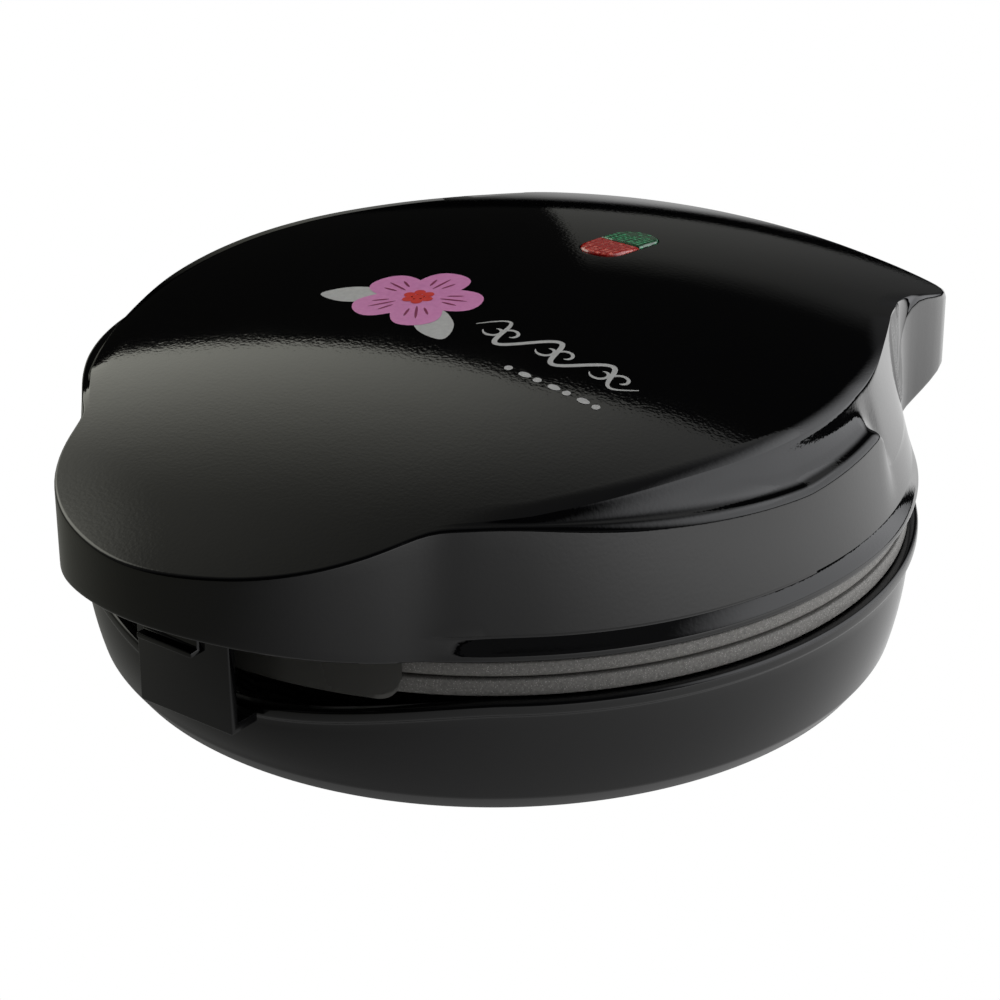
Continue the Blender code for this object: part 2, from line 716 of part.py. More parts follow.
# Bosses inside the lid: three for the upper plate, two for the hinge bracket
upper_seam = seam_height + gap / 2
upper_web = upper_seam + web_drop
upper_back = upper_web + plate_web
lid_boss_radius = 0.0040
bracket_drop = 0.00757        # the shell's underside to the hinge bracket
bracket_top = crown(0, hinge_y) - lid_wall - bracket_drop
bracket_screw_x = 0.0100
bracket_screw_inset = 0.0030  # in front of the pins
bracket_screw_y = hinge_y - bracket_screw_inset
shell_middle = lid_wall / 2
shape = bmesh.new()
for x, y in boss_places:
    add_cylinder(shape, lid_boss_radius, upper_back + gap, crown(x, y) - shell_middle, x, y, 12)
for side in (-1, 1):
    x = side * bracket_screw_x
    add_cylinder(shape, lid_boss_radius * 0.8, bracket_top + gap, crown(x, bracket_screw_y) - shell_middle,
                 x, bracket_screw_y, 12)
boolean(cover_shell, cutter("lid_bosses", mesh_from("lid_bosses", shape), lid_inner), "UNION")

# Bosses for the screws of the handle's lower cover
handle_clearance = 0.0010     # inside the lid's wall
handle_setback = 0.0040       # in front of the drum
handle_inner_radius = drum_radius + handle_setback
handle_screw_x = 0.0320
handle_screw_inset = 0.0045   # from the cover's rear edge
handle_screw_y = handle_inner_radius + handle_screw_inset
handle_cover_sheet = 0.0018
handle_cover_top = handle_cover_under + handle_cover_sheet
shape = bmesh.new()
for side in (-1, 1):
    x = side * handle_screw_x
    add_cylinder(shape, lid_boss_radius * 0.8, handle_cover_top + gap, crown(x, -handle_screw_y) - shell_middle,
                 x, -handle_screw_y, 12)
boolean(cover_shell, cutter("handle_bosses", mesh_from("handle_bosses", shape), lid_inner), "UNION")

# Lamp window: a slot through the crown with round ends
lamp_x = 0.0020
lamp_y = 0.0525
lamp_half_width = 0.0065
lamp_half_run = 0.0070        # from the middle to the centre of each round end
lens_proud = 0.0008
lens_foot = 0.0010            # reaches through the shell
lens_depth = lid_wall + lens_foot
lens_arc_steps = 8


def lens_outline(side, shrink):
    """Half of the capsule, from the split to its round end on one side along Y."""
    half = lamp_half_width - shrink
    points = [(lamp_x + half, lamp_y + side * (shrink + gap / 2))]
    for i in range(lens_arc_steps + 1):
        turn = math.pi * i / lens_arc_steps
        points.append((lamp_x + half * math.cos(turn),
                       lamp_y + side * (lamp_half_run + half * math.sin(turn))))
    points.append((lamp_x - half, lamp_y + side * (shrink + gap / 2)))
    return points


shape = bmesh.new()
window = lens_outline(1, -gap)[1:-1] + lens_outline(-1, -gap)[1:-1][::-1]
levels = (crown(0, 0) + overrun, crown(lamp_x, lamp_y) - 4 * lid_wall)
loft(shape, [[(x, y, z) for x, y in window] for z in levels], (lamp_x, lamp_y, levels[0]),
     (lamp_x, lamp_y, levels[1]))
for x, y in boss_places:
    add_cylinder(shape, screw_radius + gap, upper_back - overrun, upper_back + screw_hole_depth, x, y, 10)
bracket_screw_length = 0.0080
for side in (-1, 1):
    add_cylinder(shape, screw_radius + gap, bracket_top - overrun, bracket_top + bracket_screw_length,
                 side * bracket_screw_x, bracket_screw_y, 10)
    add_cylinder(shape, screw_radius + gap, handle_cover_top - overrun, handle_cover_top + bracket_screw_length,
                 side * handle_screw_x, -handle_screw_y, 10)
boolean(cover_shell, cutter("lid_openings", mesh_from("lid_openings", shape), lid_inner), "DIFFERENCE")


def lens(name, side, colour):
    """One coloured half of the lamp window, which follows the crown."""
    shape = bmesh.new()
    rings = []
    for shrink, rise in ((lens_proud, lens_proud), (0.0, 0.0), (0.0, -lens_depth)):
        rings.append([(x, y, crown(x, y) + rise) for x, y in lens_outline(side, shrink)])
    middle = (lamp_x, lamp_y + side * lamp_half_run)
    top = (*middle, crown(*middle) + lens_proud)
    loft(shape, rings, top, (*middle, crown(*middle) - lens_depth))
    return piece(name, mesh_from(name, shape), lid_inner, (colour, 0.08), smooth=False)


lens("red_lens", -1, signal_red)
lens("green_lens", 1, signal_green)

# Neon lamps under the lenses, on a tray that hangs from the shell
neon_radius = 0.0018
neon_length = 0.0090
tray_sheet = 0.0016
tray_half_width = 0.0075
tray_post = 0.0020
lamp_level = {}
for name, side in (("red_neon_lamp", -1), ("green_neon_lamp", 1)):
    y = lamp_y + side * lamp_half_run
    z = min(crown(lamp_x, y - neon_radius), crown(lamp_x, y + neon_radius)) - lens_depth - gap - neon_radius
    lamp_level[side] = (y, z - neon_radius - gap)
    shape = bmesh.new()
    add_rod(shape, neon_radius, lamp_x - neon_length / 2, lamp_x + neon_length / 2, y, z, 10)
    piece(name, mesh_from(name, shape), lid_inner, (clear_glass, 0.05))
(front_y, front_z), (rear_y, rear_z) = lamp_level[-1], lamp_level[1]
tray_z = rear_z - tray_sheet
tray_front = lamp_y - lamp_half_run - lamp_half_width - tray_post
tray_rear = lamp_y + lamp_half_run + lamp_half_width + tray_post


def under_shell(y):
    """Underside of the lid's shell along the tray."""
    return crown(lamp_x + tray_half_width, y) - lid_wall - 3 * gap


shape = bmesh.new()
extrude_x(shape, [(tray_front - tray_post, tray_z), (tray_rear + tray_post, tray_z),
                  (tray_rear + tray_post, under_shell(tray_rear + tray_post)),
                  (tray_rear, under_shell(tray_rear + tray_post)), (tray_rear, rear_z),
                  (lamp_y, rear_z), (lamp_y, front_z), (tray_front, front_z),
                  (tray_front, under_shell(tray_front)),
                  (tray_front - tray_post, under_shell(tray_front))],
          lamp_x - tray_half_width, lamp_x + tray_half_width)
piece("lamp_tray", mesh_from("lamp_tray", shape), lid_inner, (white_ceramic, 0.5), smooth=False)

# Upper plate, its heater, its screws and the reflector above it
ceiling_clearance = 0.00435   # above the domes
reflector_ceiling_z = upper_web + dome_depth + cup_wall + ceiling_clearance
baking_plate("upper_baking_plate", upper_seam, -1, dome_foot_radius, dome_depth, lid_inner)
plate_screws("upper_plate_screw", upper_seam, -1, lid_inner)
heating_element("upper_heating_element", upper_back, -1, lid_inner)
reflector("upper_reflector", upper_back + gap, reflector_ceiling_z, -1, lid_inner)

# Hinge bracket: a bar under the crown with two lugs down to the pins
bracket_bar = 0.0040
bracket_half_depth = 0.0050
bracket_front_y = bracket_screw_y - bracket_half_depth
lug_radius = 0.0050
lug_steps = 8
lug_outline = [(hinge_y - lug_radius, bracket_top - bracket_bar / 2),
               (hinge_y - lug_radius, hinge_z)]
for i in range(1, lug_steps):
    turn = math.pi + math.pi * i / lug_steps
    lug_outline.append((hinge_y + lug_radius * math.cos(turn), hinge_z + lug_radius * math.sin(turn)))
lug_outline += [(hinge_y + lug_radius, hinge_z), (hinge_y + lug_radius, bracket_top - bracket_bar / 2)]
shape = bmesh.new()
add_box(shape, (-lug_outer, bracket_front_y, bracket_top - bracket_bar),
        (lug_outer, hinge_y + lug_radius + gap, bracket_top))
bracket = piece("lid_hinge_bracket", mesh_from("lid_hinge_bracket", shape), lid_inner, (dark_steel, 0.4, 1.0),
                smooth=False)
shape = bmesh.new()
for side in (-1, 1):
    extrude_x(shape, lug_outline, side * lug_inner, side * lug_outer)
boolean(bracket, cutter("hinge_lugs", mesh_from("hinge_lugs", shape), lid_inner), "UNION")
shape = bmesh.new()
add_rod(shape, pin_radius + gap, -ear_inner, ear_inner, hinge_y, hinge_z, pin_sides)
for side in (-1, 1):
    add_cylinder(shape, screw_radius + gap, bracket_top - bracket_bar - overrun, bracket_top + overrun,
                 side * bracket_screw_x, bracket_screw_y, 10)
boolean(bracket, cutter("bracket_holes", mesh_from("bracket_holes", shape), lid_inner), "DIFFERENCE")


def screws_from_below(name, places, under, sheet, reach):
    """Screws whose heads lie under a sheet and whose tips reach up past it."""
    face = under - gap
    screw_set(name, places, [(screw_radius, under + sheet + reach), (screw_radius, face),
                             (screw_head_radius, face), (screw_head_radius, face - screw_radius)], lid_inner)


bracket_places = [(side * bracket_screw_x, bracket_screw_y) for side in (-1, 1)]
screws_from_below("hinge_bracket_screw", bracket_places, bracket_top - bracket_bar, bracket_bar,
                  bracket_screw_length - 2 * gap)

# Lower cover of the handle, with a notch and two cheeks for the latch
handle_spread = math.radians(23)
handle_steps = 12
latch_left_width = 0.0052     # the spring sits to the lever's left
latch_right_width = 0.0123
latch_side_clearance = 0.0025
cheek_width = 0.0030
cheek_inner = latch_right_width + latch_side_clearance
cheek_outer = cheek_inner + cheek_width
latch_stand = 0.0047          # the pin lies in front of the keeper
latch_rise = 0.0066           # and above the cover's underside
latch_y = keeper_y - latch_stand
latch_z = handle_cover_under + latch_rise
cheek_half = 0.0032
turns = [-math.pi / 2 + handle_spread * (2 * i / handle_steps - 1) for i in range(handle_steps + 1)]
front = [polar(top_reach(a) - lid_wall - handle_clearance, a, 0)[:2] for a in turns]
back = [polar(handle_inner_radius, a, 0)[:2] for a in turns[::-1]]
shape = bmesh.new()
face = shape.faces.new([shape.verts.new((x, y, handle_cover_under)) for x, y in front + back])
grown = bmesh.ops.extrude_face_region(shape, geom=[face])["geom"]
moved = [part for part in grown if isinstance(part, bmesh.types.BMVert)]
bmesh.ops.translate(shape, verts=moved, vec=(0, 0, handle_cover_sheet))
handle_cover = piece("handle_lower_cover", mesh_from("handle_lower_cover", shape), lid_inner, black,
                     smooth=False)
shape = bmesh.new()
for side in (-1, 1):
    start, end = sorted((side * cheek_inner, side * cheek_outer))
    add_box(shape, (start, latch_y - cheek_half, handle_cover_under + handle_cover_sheet / 2),
            (end, latch_y + cheek_half, latch_z + cheek_half))
boolean(handle_cover, cutter("latch_cheeks", mesh_from("latch_cheeks", shape), lid_inner), "UNION")
latch_pin_radius = 0.0013
latch_boss = 0.0034
notch_clearance = 0.0028
notch_back_y = latch_y + latch_boss + notch_clearance
shape = bmesh.new()
add_box(shape, (-cheek_inner + gap, -front_reach, handle_cover_under - overrun),
        (cheek_inner - gap, notch_back_y, handle_cover_top + overrun))
add_rod(shape, latch_pin_radius + gap, -cheek_outer - overrun, cheek_outer + overrun, latch_y, latch_z, 10)
for side in (-1, 1):
    add_cylinder(shape, screw_radius + gap, handle_cover_under - overrun, handle_cover_top + overrun,
                 side * handle_screw_x, -handle_screw_y, 10)
boolean(handle_cover, cutter("handle_cover_holes", mesh_from("handle_cover_holes", shape), lid_inner),
        "DIFFERENCE")
handle_places = [(side * handle_screw_x, -handle_screw_y) for side in (-1, 1)]
screws_from_below("handle_cover_screw", handle_places, handle_cover_under, handle_cover_sheet,
                  bracket_screw_length - 2 * gap)

# Apron: a skirt in front that hides the plates behind the handle
apron_spread = math.radians(26.5)
apron_steps = 20
apron_sheet = 0.0016
apron_inner = plate_radius + 2 * gap
apron_outer = apron_inner + apron_sheet
apron_low = seam_height - plate_rim_height
apron_end = 0.0030
shape = bmesh.new()
rings = []
for i in range(apron_steps + 1):
    part = 2 * i / apron_steps - 1
    angle = -math.pi / 2 + apron_spread * part
    high = lid_edge_height + lip_rise_share * max(top_reach(angle) - drum_radius, 0.0) - gap
    low = apron_low + (apron_end if abs(part) == 1 else 0.0)
    rings.append([polar(apron_inner, angle, low), polar(apron_outer, angle, low),
                  polar(apron_outer, angle, high), polar(apron_inner, angle, high)])
ends = []
for ring in (rings[0], rings[-1]):
    ends.append([sum(corner[k] for corner in ring) / len(ring) for k in range(3)])
loft(shape, rings, ends[0], ends[1])
piece("front_apron", mesh_from("front_apron", shape), lid_inner, black, smooth=False)

# Latch: a lever that hangs in the handle, in front of the keeper's ledge
latch_drop = 0.0095           # below the handle's lower cover
latch_lip = 0.0016
latch_lip_reach = 0.0050      # in front of the pin
latch_low = handle_cover_under - latch_drop
latch_lip_y = latch_y - latch_lip_reach
latch_back_y = keeper_y - keeper_ledge - 2 * gap
latch_web = 0.0028
shoulder = latch_boss * 0.42
latch_frame = empty("latch_frame", (0, latch_y, latch_z), lid_inner)
latch_inner = empty("latch_inner_frame", (0, -latch_y, -latch_z), latch_frame)
lever_outline = [(latch_back_y, latch_low), (latch_back_y, latch_z - latch_boss - shoulder),
                 (latch_y + latch_boss, latch_z - shoulder), (latch_y + latch_boss, latch_z + shoulder),
                 (latch_y + shoulder, latch_z + latch_boss), (latch_y - shoulder, latch_z + latch_boss),
                 (latch_y - latch_boss, latch_z + shoulder), (latch_y - latch_boss, latch_z - shoulder),
                 (latch_back_y - latch_web, latch_z - latch_boss - shoulder),
                 (latch_back_y - latch_web, latch_low + latch_lip), (latch_lip_y, latch_low + latch_lip),
                 (latch_lip_y, latch_low)]
shape = bmesh.new()
extrude_x(shape, lever_outline, -latch_left_width, latch_right_width)
lever = piece("latch_lever", mesh_from("latch_lever", shape), latch_inner, black, smooth=False)
shape = bmesh.new()
add_rod(shape, latch_pin_radius + gap, -latch_left_width - overrun, latch_right_width + overrun, latch_y,
        latch_z, 10)
boolean(lever, cutter("latch_bore", mesh_from("latch_bore", shape), latch_inner), "DIFFERENCE")
shape = bmesh.new()
add_rod(shape, latch_pin_radius, -cheek_outer, cheek_outer, latch_y, latch_z, 10)
piece("latch_pin", mesh_from("latch_pin", shape), lid_inner, (bright_steel, 0.3, 1.0))

# Torsion spring on the pin, between the lever and the left cheek
spring_wire = 0.00035
spring_radius = 0.0023
spring_turns = 5
spring_steps = 10
spring_start = latch_left_width + gap + spring_wire
spring_run = cheek_inner - gap - spring_wire - spring_start
curve = bpy.data.curves.new("latch_spring", "CURVE")
curve.dimensions = "3D"
curve.bevel_depth = spring_wire
curve.bevel_resolution = 1
curve.use_fill_caps = True
spline = curve.splines.new("POLY")
spline.points.add(spring_turns * spring_steps)
for i, point in enumerate(spline.points):
    turn = math.tau * i / spring_steps
    across = spring_start + spring_run * i / (spring_turns * spring_steps)
    point.co = (-across, latch_y + spring_radius * math.cos(turn), latch_z + spring_radius * math.sin(turn), 1.0)
spring = bpy.data.objects.new("latch_spring", curve)
machine.objects.link(spring)
spring.parent = lid_inner
curve.materials.append(material("latch_spring", bright_steel, 0.3, 1.0))
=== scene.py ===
# %% [markdown]
# # A seven-cup cupcake maker
# The machine is a round countertop cooker: a shallow base, a crowned lid with a handle in front and
# a hinge block behind, and a cast plate with seven cups in each half.  Its solids come from the
# frame.  This lesson gives each piece the shape and the finish that the eye meets.

# %% Load the frame
import math

import bmesh
import bpy
from mathutils import Matrix, Vector


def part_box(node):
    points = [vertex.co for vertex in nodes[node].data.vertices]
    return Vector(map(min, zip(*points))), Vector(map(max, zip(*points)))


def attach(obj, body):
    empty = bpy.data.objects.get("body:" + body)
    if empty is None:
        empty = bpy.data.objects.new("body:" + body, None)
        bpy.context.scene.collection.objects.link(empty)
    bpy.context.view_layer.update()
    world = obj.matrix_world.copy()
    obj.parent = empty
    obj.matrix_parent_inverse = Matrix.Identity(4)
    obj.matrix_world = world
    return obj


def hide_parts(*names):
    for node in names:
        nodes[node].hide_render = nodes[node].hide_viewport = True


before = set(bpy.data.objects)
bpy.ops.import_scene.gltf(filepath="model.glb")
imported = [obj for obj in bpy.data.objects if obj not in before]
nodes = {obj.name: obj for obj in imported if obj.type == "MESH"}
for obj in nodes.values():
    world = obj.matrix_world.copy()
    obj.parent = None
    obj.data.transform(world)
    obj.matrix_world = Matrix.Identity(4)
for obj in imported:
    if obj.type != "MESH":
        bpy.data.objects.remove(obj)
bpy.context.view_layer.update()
print("solids in the frame:", len(nodes))

# %% [markdown]
# ## Where things are
# The round body stands on an axis that lies a little behind the origin, because the handle reaches
# further out than the hinge.  Every piece here is modelled around that axis, with heights from the
# underside of the base, and `place_on_machine` moves the finished mesh to the frame's own place.

# %% Sizes of the machine
base_low, base_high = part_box("base_housing")
plate_low, plate_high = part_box("lower_baking_plate")
axis_y = (plate_low.y + plate_high.y) / 2
foot_height = base_low.z
rim_radius = base_high.x
plate_radius = plate_high.x
front_reach = axis_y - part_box("lid_cover")[0].y
rear_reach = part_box("lid_cover")[1].y - axis_y
mm = 0.001
body_height = 91 * mm
print("rim, plate and height in mm:", [round(v / mm, 1) for v in (rim_radius, plate_radius, body_height)])

# %% [markdown]
# ## The camera
# The photograph looks down on the machine from its right front with a long lens.  The camera looks at
# the body's axis, and then turns up a little and rolls a little, as the photographer's did.

# %% Camera
view_azimuth = math.radians(37.992)
view_elevation = math.radians(27.603)
view_distance = 0.81623
turn_right, turn_up, turn_roll = (math.radians(a) for a in (-0.0758, 1.9778, -0.3249))

back = Vector((math.sin(view_azimuth) * math.cos(view_elevation),
               -math.cos(view_azimuth) * math.cos(view_elevation), math.sin(view_elevation)))
right = Vector((math.cos(view_azimuth), math.sin(view_azimuth), 0.0))
toward = Matrix((right, back.cross(right), back)).transposed()
toward = toward @ Matrix.Rotation(turn_right, 3, "Y") @ Matrix.Rotation(turn_up, 3, "X")
toward = toward @ Matrix.Rotation(turn_roll, 3, "Z")
camera = bpy.data.objects.new("camera", bpy.data.cameras.new("camera"))
bpy.context.scene.collection.objects.link(camera)
camera.matrix_world = Matrix.Translation(Vector((0, axis_y, foot_height)) + back * view_distance) @ toward.to_4x4()
camera.data.sensor_width = 36.0
camera.data.lens = 107.986
camera.data.clip_start = 0.01
bpy.context.scene.camera = camera

# %% [markdown]
# ## Helpers for materials
# Colours are written as the sRGB hex values that a picture shows, and one function turns them to the
# linear light that Blender works in.  Another adds a node, sets it and links it.

# %% Colour and node helpers
def colour(hex_code):
    """Linear RGBA from an sRGB hex value such as 2a2a2a."""
    channels = [int(hex_code[i:i + 2], 16) / 255 for i in (0, 2, 4)]
    return (*[c / 12.92 if c <= 0.04045 else ((c + 0.055) / 1.055) ** 2.4 for c in channels], 1.0)


def add(tree, kind, inputs=(), **settings):
    """Add one node: settings are its properties, inputs are values or sockets to link."""
    made = tree.nodes.new(kind)
    for name, value in settings.items():
        setattr(made, name, value)
    for key, value in dict(inputs).items():
        if isinstance(value, bpy.types.NodeSocket):
            tree.links.new(value, made.inputs[key])
        else:
            made.inputs[key].default_value = value
    return made


def finish(name, **values):
    """A material whose Principled shader has these values; returns it, its tree, shader and coordinates."""
    made = bpy.data.materials.new(name)
    made.use_nodes = True
    tree = made.node_tree
    shader = tree.nodes["Principled BSDF"]
    for key, value in values.items():
        shader.inputs[key.replace("_", " ").title().replace("Ior", "IOR")].default_value = value
    place = add(tree, "ShaderNodeTexCoord").outputs["Object"]
    return made, tree, shader, place


# %% [markdown]
# ## Polished black plastic
# Lid, base and handle are injection moulded in a heat-proof black plastic, from a polished mould.  Such
# plastic is nearly black in itself, and all that the eye sees of it is what it mirrors.  Two things
# keep it from a perfect mirror: a faint orange peel from the mould, and a fine grain that shows only
# where something bright is mirrored.

# %% Polished black plastic
def polished_plastic(name, tint, grain_height, roughness):
    made, tree, shader, place = finish(name, base_color=colour(tint), roughness=roughness, ior=1.5)
    grain = add(tree, "ShaderNodeTexNoise", {"Vector": place, "Scale": 1 / (1.0 * mm), "Detail": 1.0})
    peel = add(tree, "ShaderNodeTexNoise", {"Vector": place, "Scale": 1 / (9 * mm), "Detail": 1.0})
    fine = add(tree, "ShaderNodeBump", {"Height": grain.outputs[0], "Strength": 1.0, "Distance": grain_height})
    wavy = add(tree, "ShaderNodeBump", {"Height": peel.outputs[0], "Normal": fine.outputs[0], "Strength": 1.0,
                                        "Distance": 0.012 * mm})
    wear = add(tree, "ShaderNodeTexNoise", {"Vector": place, "Scale": 1 / (30 * mm), "Detail": 5.0})
    shine = add(tree, "ShaderNodeMapRange", {"Value": wear.outputs[0], "From Min": 0.3, "From Max": 0.75,
                                             "To Min": roughness * 0.8, "To Max": roughness * 1.35})
    tree.links.new(shine.outputs[0], shader.inputs["Roughness"])
    tree.links.new(wavy.outputs[0], shader.inputs["Normal"])
    return made


black_gloss = polished_plastic("polished_black_phenolic", "070708", 0.013 * mm, 0.045)
base_gloss = polished_plastic("moulded_black_phenolic", "0a0a0b", 0.0016 * mm, 0.11)
# The apron's grey tint is painted sheen: it lightens the black plastic to stand in for light the apron reflects under
# the handle.
apron_satin_painted_sheen = polished_plastic("satin_black_phenolic_painted_sheen", "63625e", 0.0030 * mm, 0.27)

# %% [markdown]
# The pieces under the machine and inside the handle come from a spark-eroded mould, which leaves an even
# matt grain.

# %% Matt black plastic
black_matt, tree, shader, place = finish("spark_eroded_black_plastic", base_color=colour("131314"), roughness=0.46)
grit = add(tree, "ShaderNodeTexVoronoi", {"Vector": place, "Scale": 1 / (0.8 * mm)})
bump = add(tree, "ShaderNodeBump", {"Height": grit.outputs["Distance"], "Strength": 0.6, "Distance": 0.05 * mm})
tree.links.new(bump.outputs[0], shader.inputs["Normal"])
cloud = add(tree, "ShaderNodeTexNoise", {"Vector": place, "Scale": 1 / (14 * mm), "Detail": 4.0})
shade = add(tree, "ShaderNodeMix", {0: cloud.outputs[0], 6: colour("0d0d0e"), 7: colour("1c1c1d")}, data_type="RGBA")
tree.links.new(shade.outputs[2], shader.inputs["Base Color"])

# %% [markdown]
# ## Non-stick coating
# The plates are cast aluminium with a sprayed fluoropolymer coat.  The spray dries as a fine sandy skin
# with pale flecks, which takes the light softly.

# %% Non-stick coating
coating, tree, shader, place = finish("sprayed_nonstick_coating", base_color=colour("3a3937"), roughness=0.5, ior=1.4)
sand = add(tree, "ShaderNodeTexNoise", {"Vector": place, "Scale": 1 / (0.75 * mm), "Detail": 3.0,
                                        "Roughness": 0.7})
flecks = add(tree, "ShaderNodeTexVoronoi", {"Vector": place, "Scale": 1 / (0.55 * mm)})
specks = add(tree, "ShaderNodeMapRange", {"Value": flecks.outputs["Distance"], "From Min": 0.12,
                                          "From Max": 0.28, "To Min": 1.0, "To Max": 0.0})
body = add(tree, "ShaderNodeMix", {0: sand.outputs[0], 6: colour("464543"), 7: colour("9a9894")}, data_type="RGBA")
dotted = add(tree, "ShaderNodeMix", {0: specks.outputs[0], 6: body.outputs[2], 7: colour("b4b2ad")},
             data_type="RGBA")
bump = add(tree, "ShaderNodeBump", {"Height": sand.outputs[0], "Strength": 0.8, "Distance": 0.12 * mm})
tree.links.new(dotted.outputs[2], shader.inputs["Base Color"])
tree.links.new(bump.outputs[0], shader.inputs["Normal"])

# %% [markdown]
# ## Metals
# The reflectors are spun from aluminium sheet, which leaves fine rings around the axis.  The heater's
# sheath is drawn stainless steel that has browned with heat.  Screws and pins are zinc plated, with
# a slightly cloudy shine, and the hinge bracket is punched from steel sheet.

# %% Spun aluminium, heater sheath, plated steel, sheet steel
spun, tree, shader, place = finish("spun_aluminium_sheet", base_color=colour("c6c7c9"), metallic=1.0, roughness=0.3)
centred = add(tree, "ShaderNodeMapping", {"Vector": place, "Location": (0.0, -axis_y, 0.0)})
rings = add(tree, "ShaderNodeTexWave", {"Vector": centred.outputs[0], "Scale": 0.35 / mm, "Distortion": 0.6,
                                        "Detail": 3.0}, wave_type="RINGS", rings_direction="Z")
ring_shine = add(tree, "ShaderNodeMapRange", {"Value": rings.outputs[1], "To Min": 0.24, "To Max": 0.42})
ring_bump = add(tree, "ShaderNodeBump", {"Height": rings.outputs[1], "Strength": 0.3, "Distance": 0.02 * mm})
tree.links.new(ring_shine.outputs[0], shader.inputs["Roughness"])
tree.links.new(ring_bump.outputs[0], shader.inputs["Normal"])

sheath, tree, shader, place = finish("heat_browned_steel_sheath", metallic=1.0, roughness=0.42)
tarnish = add(tree, "ShaderNodeTexNoise", {"Vector": place, "Scale": 1 / (6 * mm), "Detail": 5.0})
brown = add(tree, "ShaderNodeMix", {0: tarnish.outputs[0], 6: colour("4a4440"), 7: colour("8b8079")},
            data_type="RGBA")
tree.links.new(brown.outputs[2], shader.inputs["Base Color"])

plated, tree, shader, place = finish("zinc_plated_steel", metallic=1.0, roughness=0.28)
haze = add(tree, "ShaderNodeTexNoise", {"Vector": place, "Scale": 1 / (1.6 * mm), "Detail": 4.0})
zinc = add(tree, "ShaderNodeMix", {0: haze.outputs[0], 6: colour("9fa3a8"), 7: colour("d3d4d2")}, data_type="RGBA")
zinc_shine = add(tree, "ShaderNodeMapRange", {"Value": haze.outputs[0], "To Min": 0.18, "To Max": 0.4})
tree.links.new(zinc.outputs[2], shader.inputs["Base Color"])
tree.links.new(zinc_shine.outputs[0], shader.inputs["Roughness"])

sheet_steel, tree, shader, place = finish("punched_steel_sheet", metallic=1.0, roughness=0.4)
stretched = add(tree, "ShaderNodeMapping", {"Vector": place, "Scale": (0.1, 1.0, 1.0)})
streaks = add(tree, "ShaderNodeTexNoise", {"Vector": stretched.outputs[0], "Scale": 1 / (0.7 * mm), "Detail": 4.0})
rolled = add(tree, "ShaderNodeMix", {0: streaks.outputs[0], 6: colour("6f7174"), 7: colour("a9abad")},
             data_type="RGBA")
tree.links.new(rolled.outputs[2], shader.inputs["Base Color"])

# %% [markdown]
# ## Rubber, ceramic and the lamps' glass
# The feet and the cord's gland are moulded rubber with a dull bloom.  Terminal block, thermostat and
# lamp tray are pale heat-proof parts, and the neon lamps are small glass tubes.

# %% Rubber, ceramic, glass
rubber, tree, shader, place = finish("moulded_rubber", roughness=0.78)
bloom = add(tree, "ShaderNodeTexNoise", {"Vector": place, "Scale": 1 / (2.2 * mm), "Detail": 6.0})
dull = add(tree, "ShaderNodeMix", {0: bloom.outputs[0], 6: colour("171717"), 7: colour("2f2e2d")}, data_type="RGBA")
skin = add(tree, "ShaderNodeBump", {"Height": bloom.outputs[0], "Strength": 0.5, "Distance": 0.06 * mm})
tree.links.new(dull.outputs[2], shader.inputs["Base Color"])
tree.links.new(skin.outputs[0], shader.inputs["Normal"])

ceramic, tree, shader, place = finish("pressed_steatite", roughness=0.42)
fired = add(tree, "ShaderNodeTexNoise", {"Vector": place, "Scale": 1 / (1.1 * mm), "Detail": 4.0})
cream = add(tree, "ShaderNodeMix", {0: fired.outputs[0], 6: colour("d8d0c0"), 7: colour("efeade")}, data_type="RGBA")
tree.links.new(cream.outputs[2], shader.inputs["Base Color"])

neon, tree, shader, place = finish("neon_lamp_glass", roughness=0.05, ior=1.5, transmission_weight=0.6)
glow = add(tree, "ShaderNodeTexNoise", {"Vector": place, "Scale": 1 / (3 * mm)})
amber = add(tree, "ShaderNodeMix", {0: glow.outputs[0], 6: colour("d98a5a"), 7: colour("f3c9a4")}, data_type="RGBA")
tree.links.new(amber.outputs[2], shader.inputs["Base Color"])

# %% Give the inner solids their finishes
carried = {
    "lower_reflector": spun, "upper_reflector": spun, "lower_heating_element": sheath,
    "upper_heating_element": sheath, "thermostat": ceramic, "terminal_block": ceramic, "lamp_tray": ceramic,
    "thermal_fuse": plated, "left_hinge_pin": plated, "right_hinge_pin": plated, "latch_pin": plated,
    "latch_spring": plated, "lid_hinge_bracket": sheet_steel, "red_neon_lamp": neon, "green_neon_lamp": neon,
    "handle_lower_cover": black_matt, "hinge_bracket_screw_1": plated, "hinge_bracket_screw_2": plated,
}
for name, look in carried.items():
    nodes[name].data.materials.clear()
    nodes[name].data.materials.append(look)
print("solids kept as they are:", len(carried))

# %% [markdown]
# ## Helpers for meshes
# A round shell whose section changes with the angle is grown ring by ring: a circle is extruded again
# and again, and each new ring is set on its section.  An attribute keeps each vertex's place in the
# ring, so the formula finds it after the extrusion.

# %% Mesh helpers
def place_on_machine(name, shape, look, body, smooth=True, keep_sharp=40):
    """Finish a bmesh as a piece of the machine that rides on a body."""
    bmesh.ops.recalc_face_normals(shape, faces=shape.faces[:])
    bmesh.ops.translate(shape, verts=shape.verts[:], vec=(0, axis_y, foot_height))
    mesh = bpy.data.meshes.new(name)
    shape.to_mesh(mesh)
    shape.free()
    mesh.materials.append(look)
    if smooth:
        mesh.shade_smooth()
        mesh.set_sharp_from_angle(angle=math.radians(keep_sharp))
    made = bpy.data.objects.new(name, mesh)
    bpy.context.scene.collection.objects.link(made)
    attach(made, body)
    return made


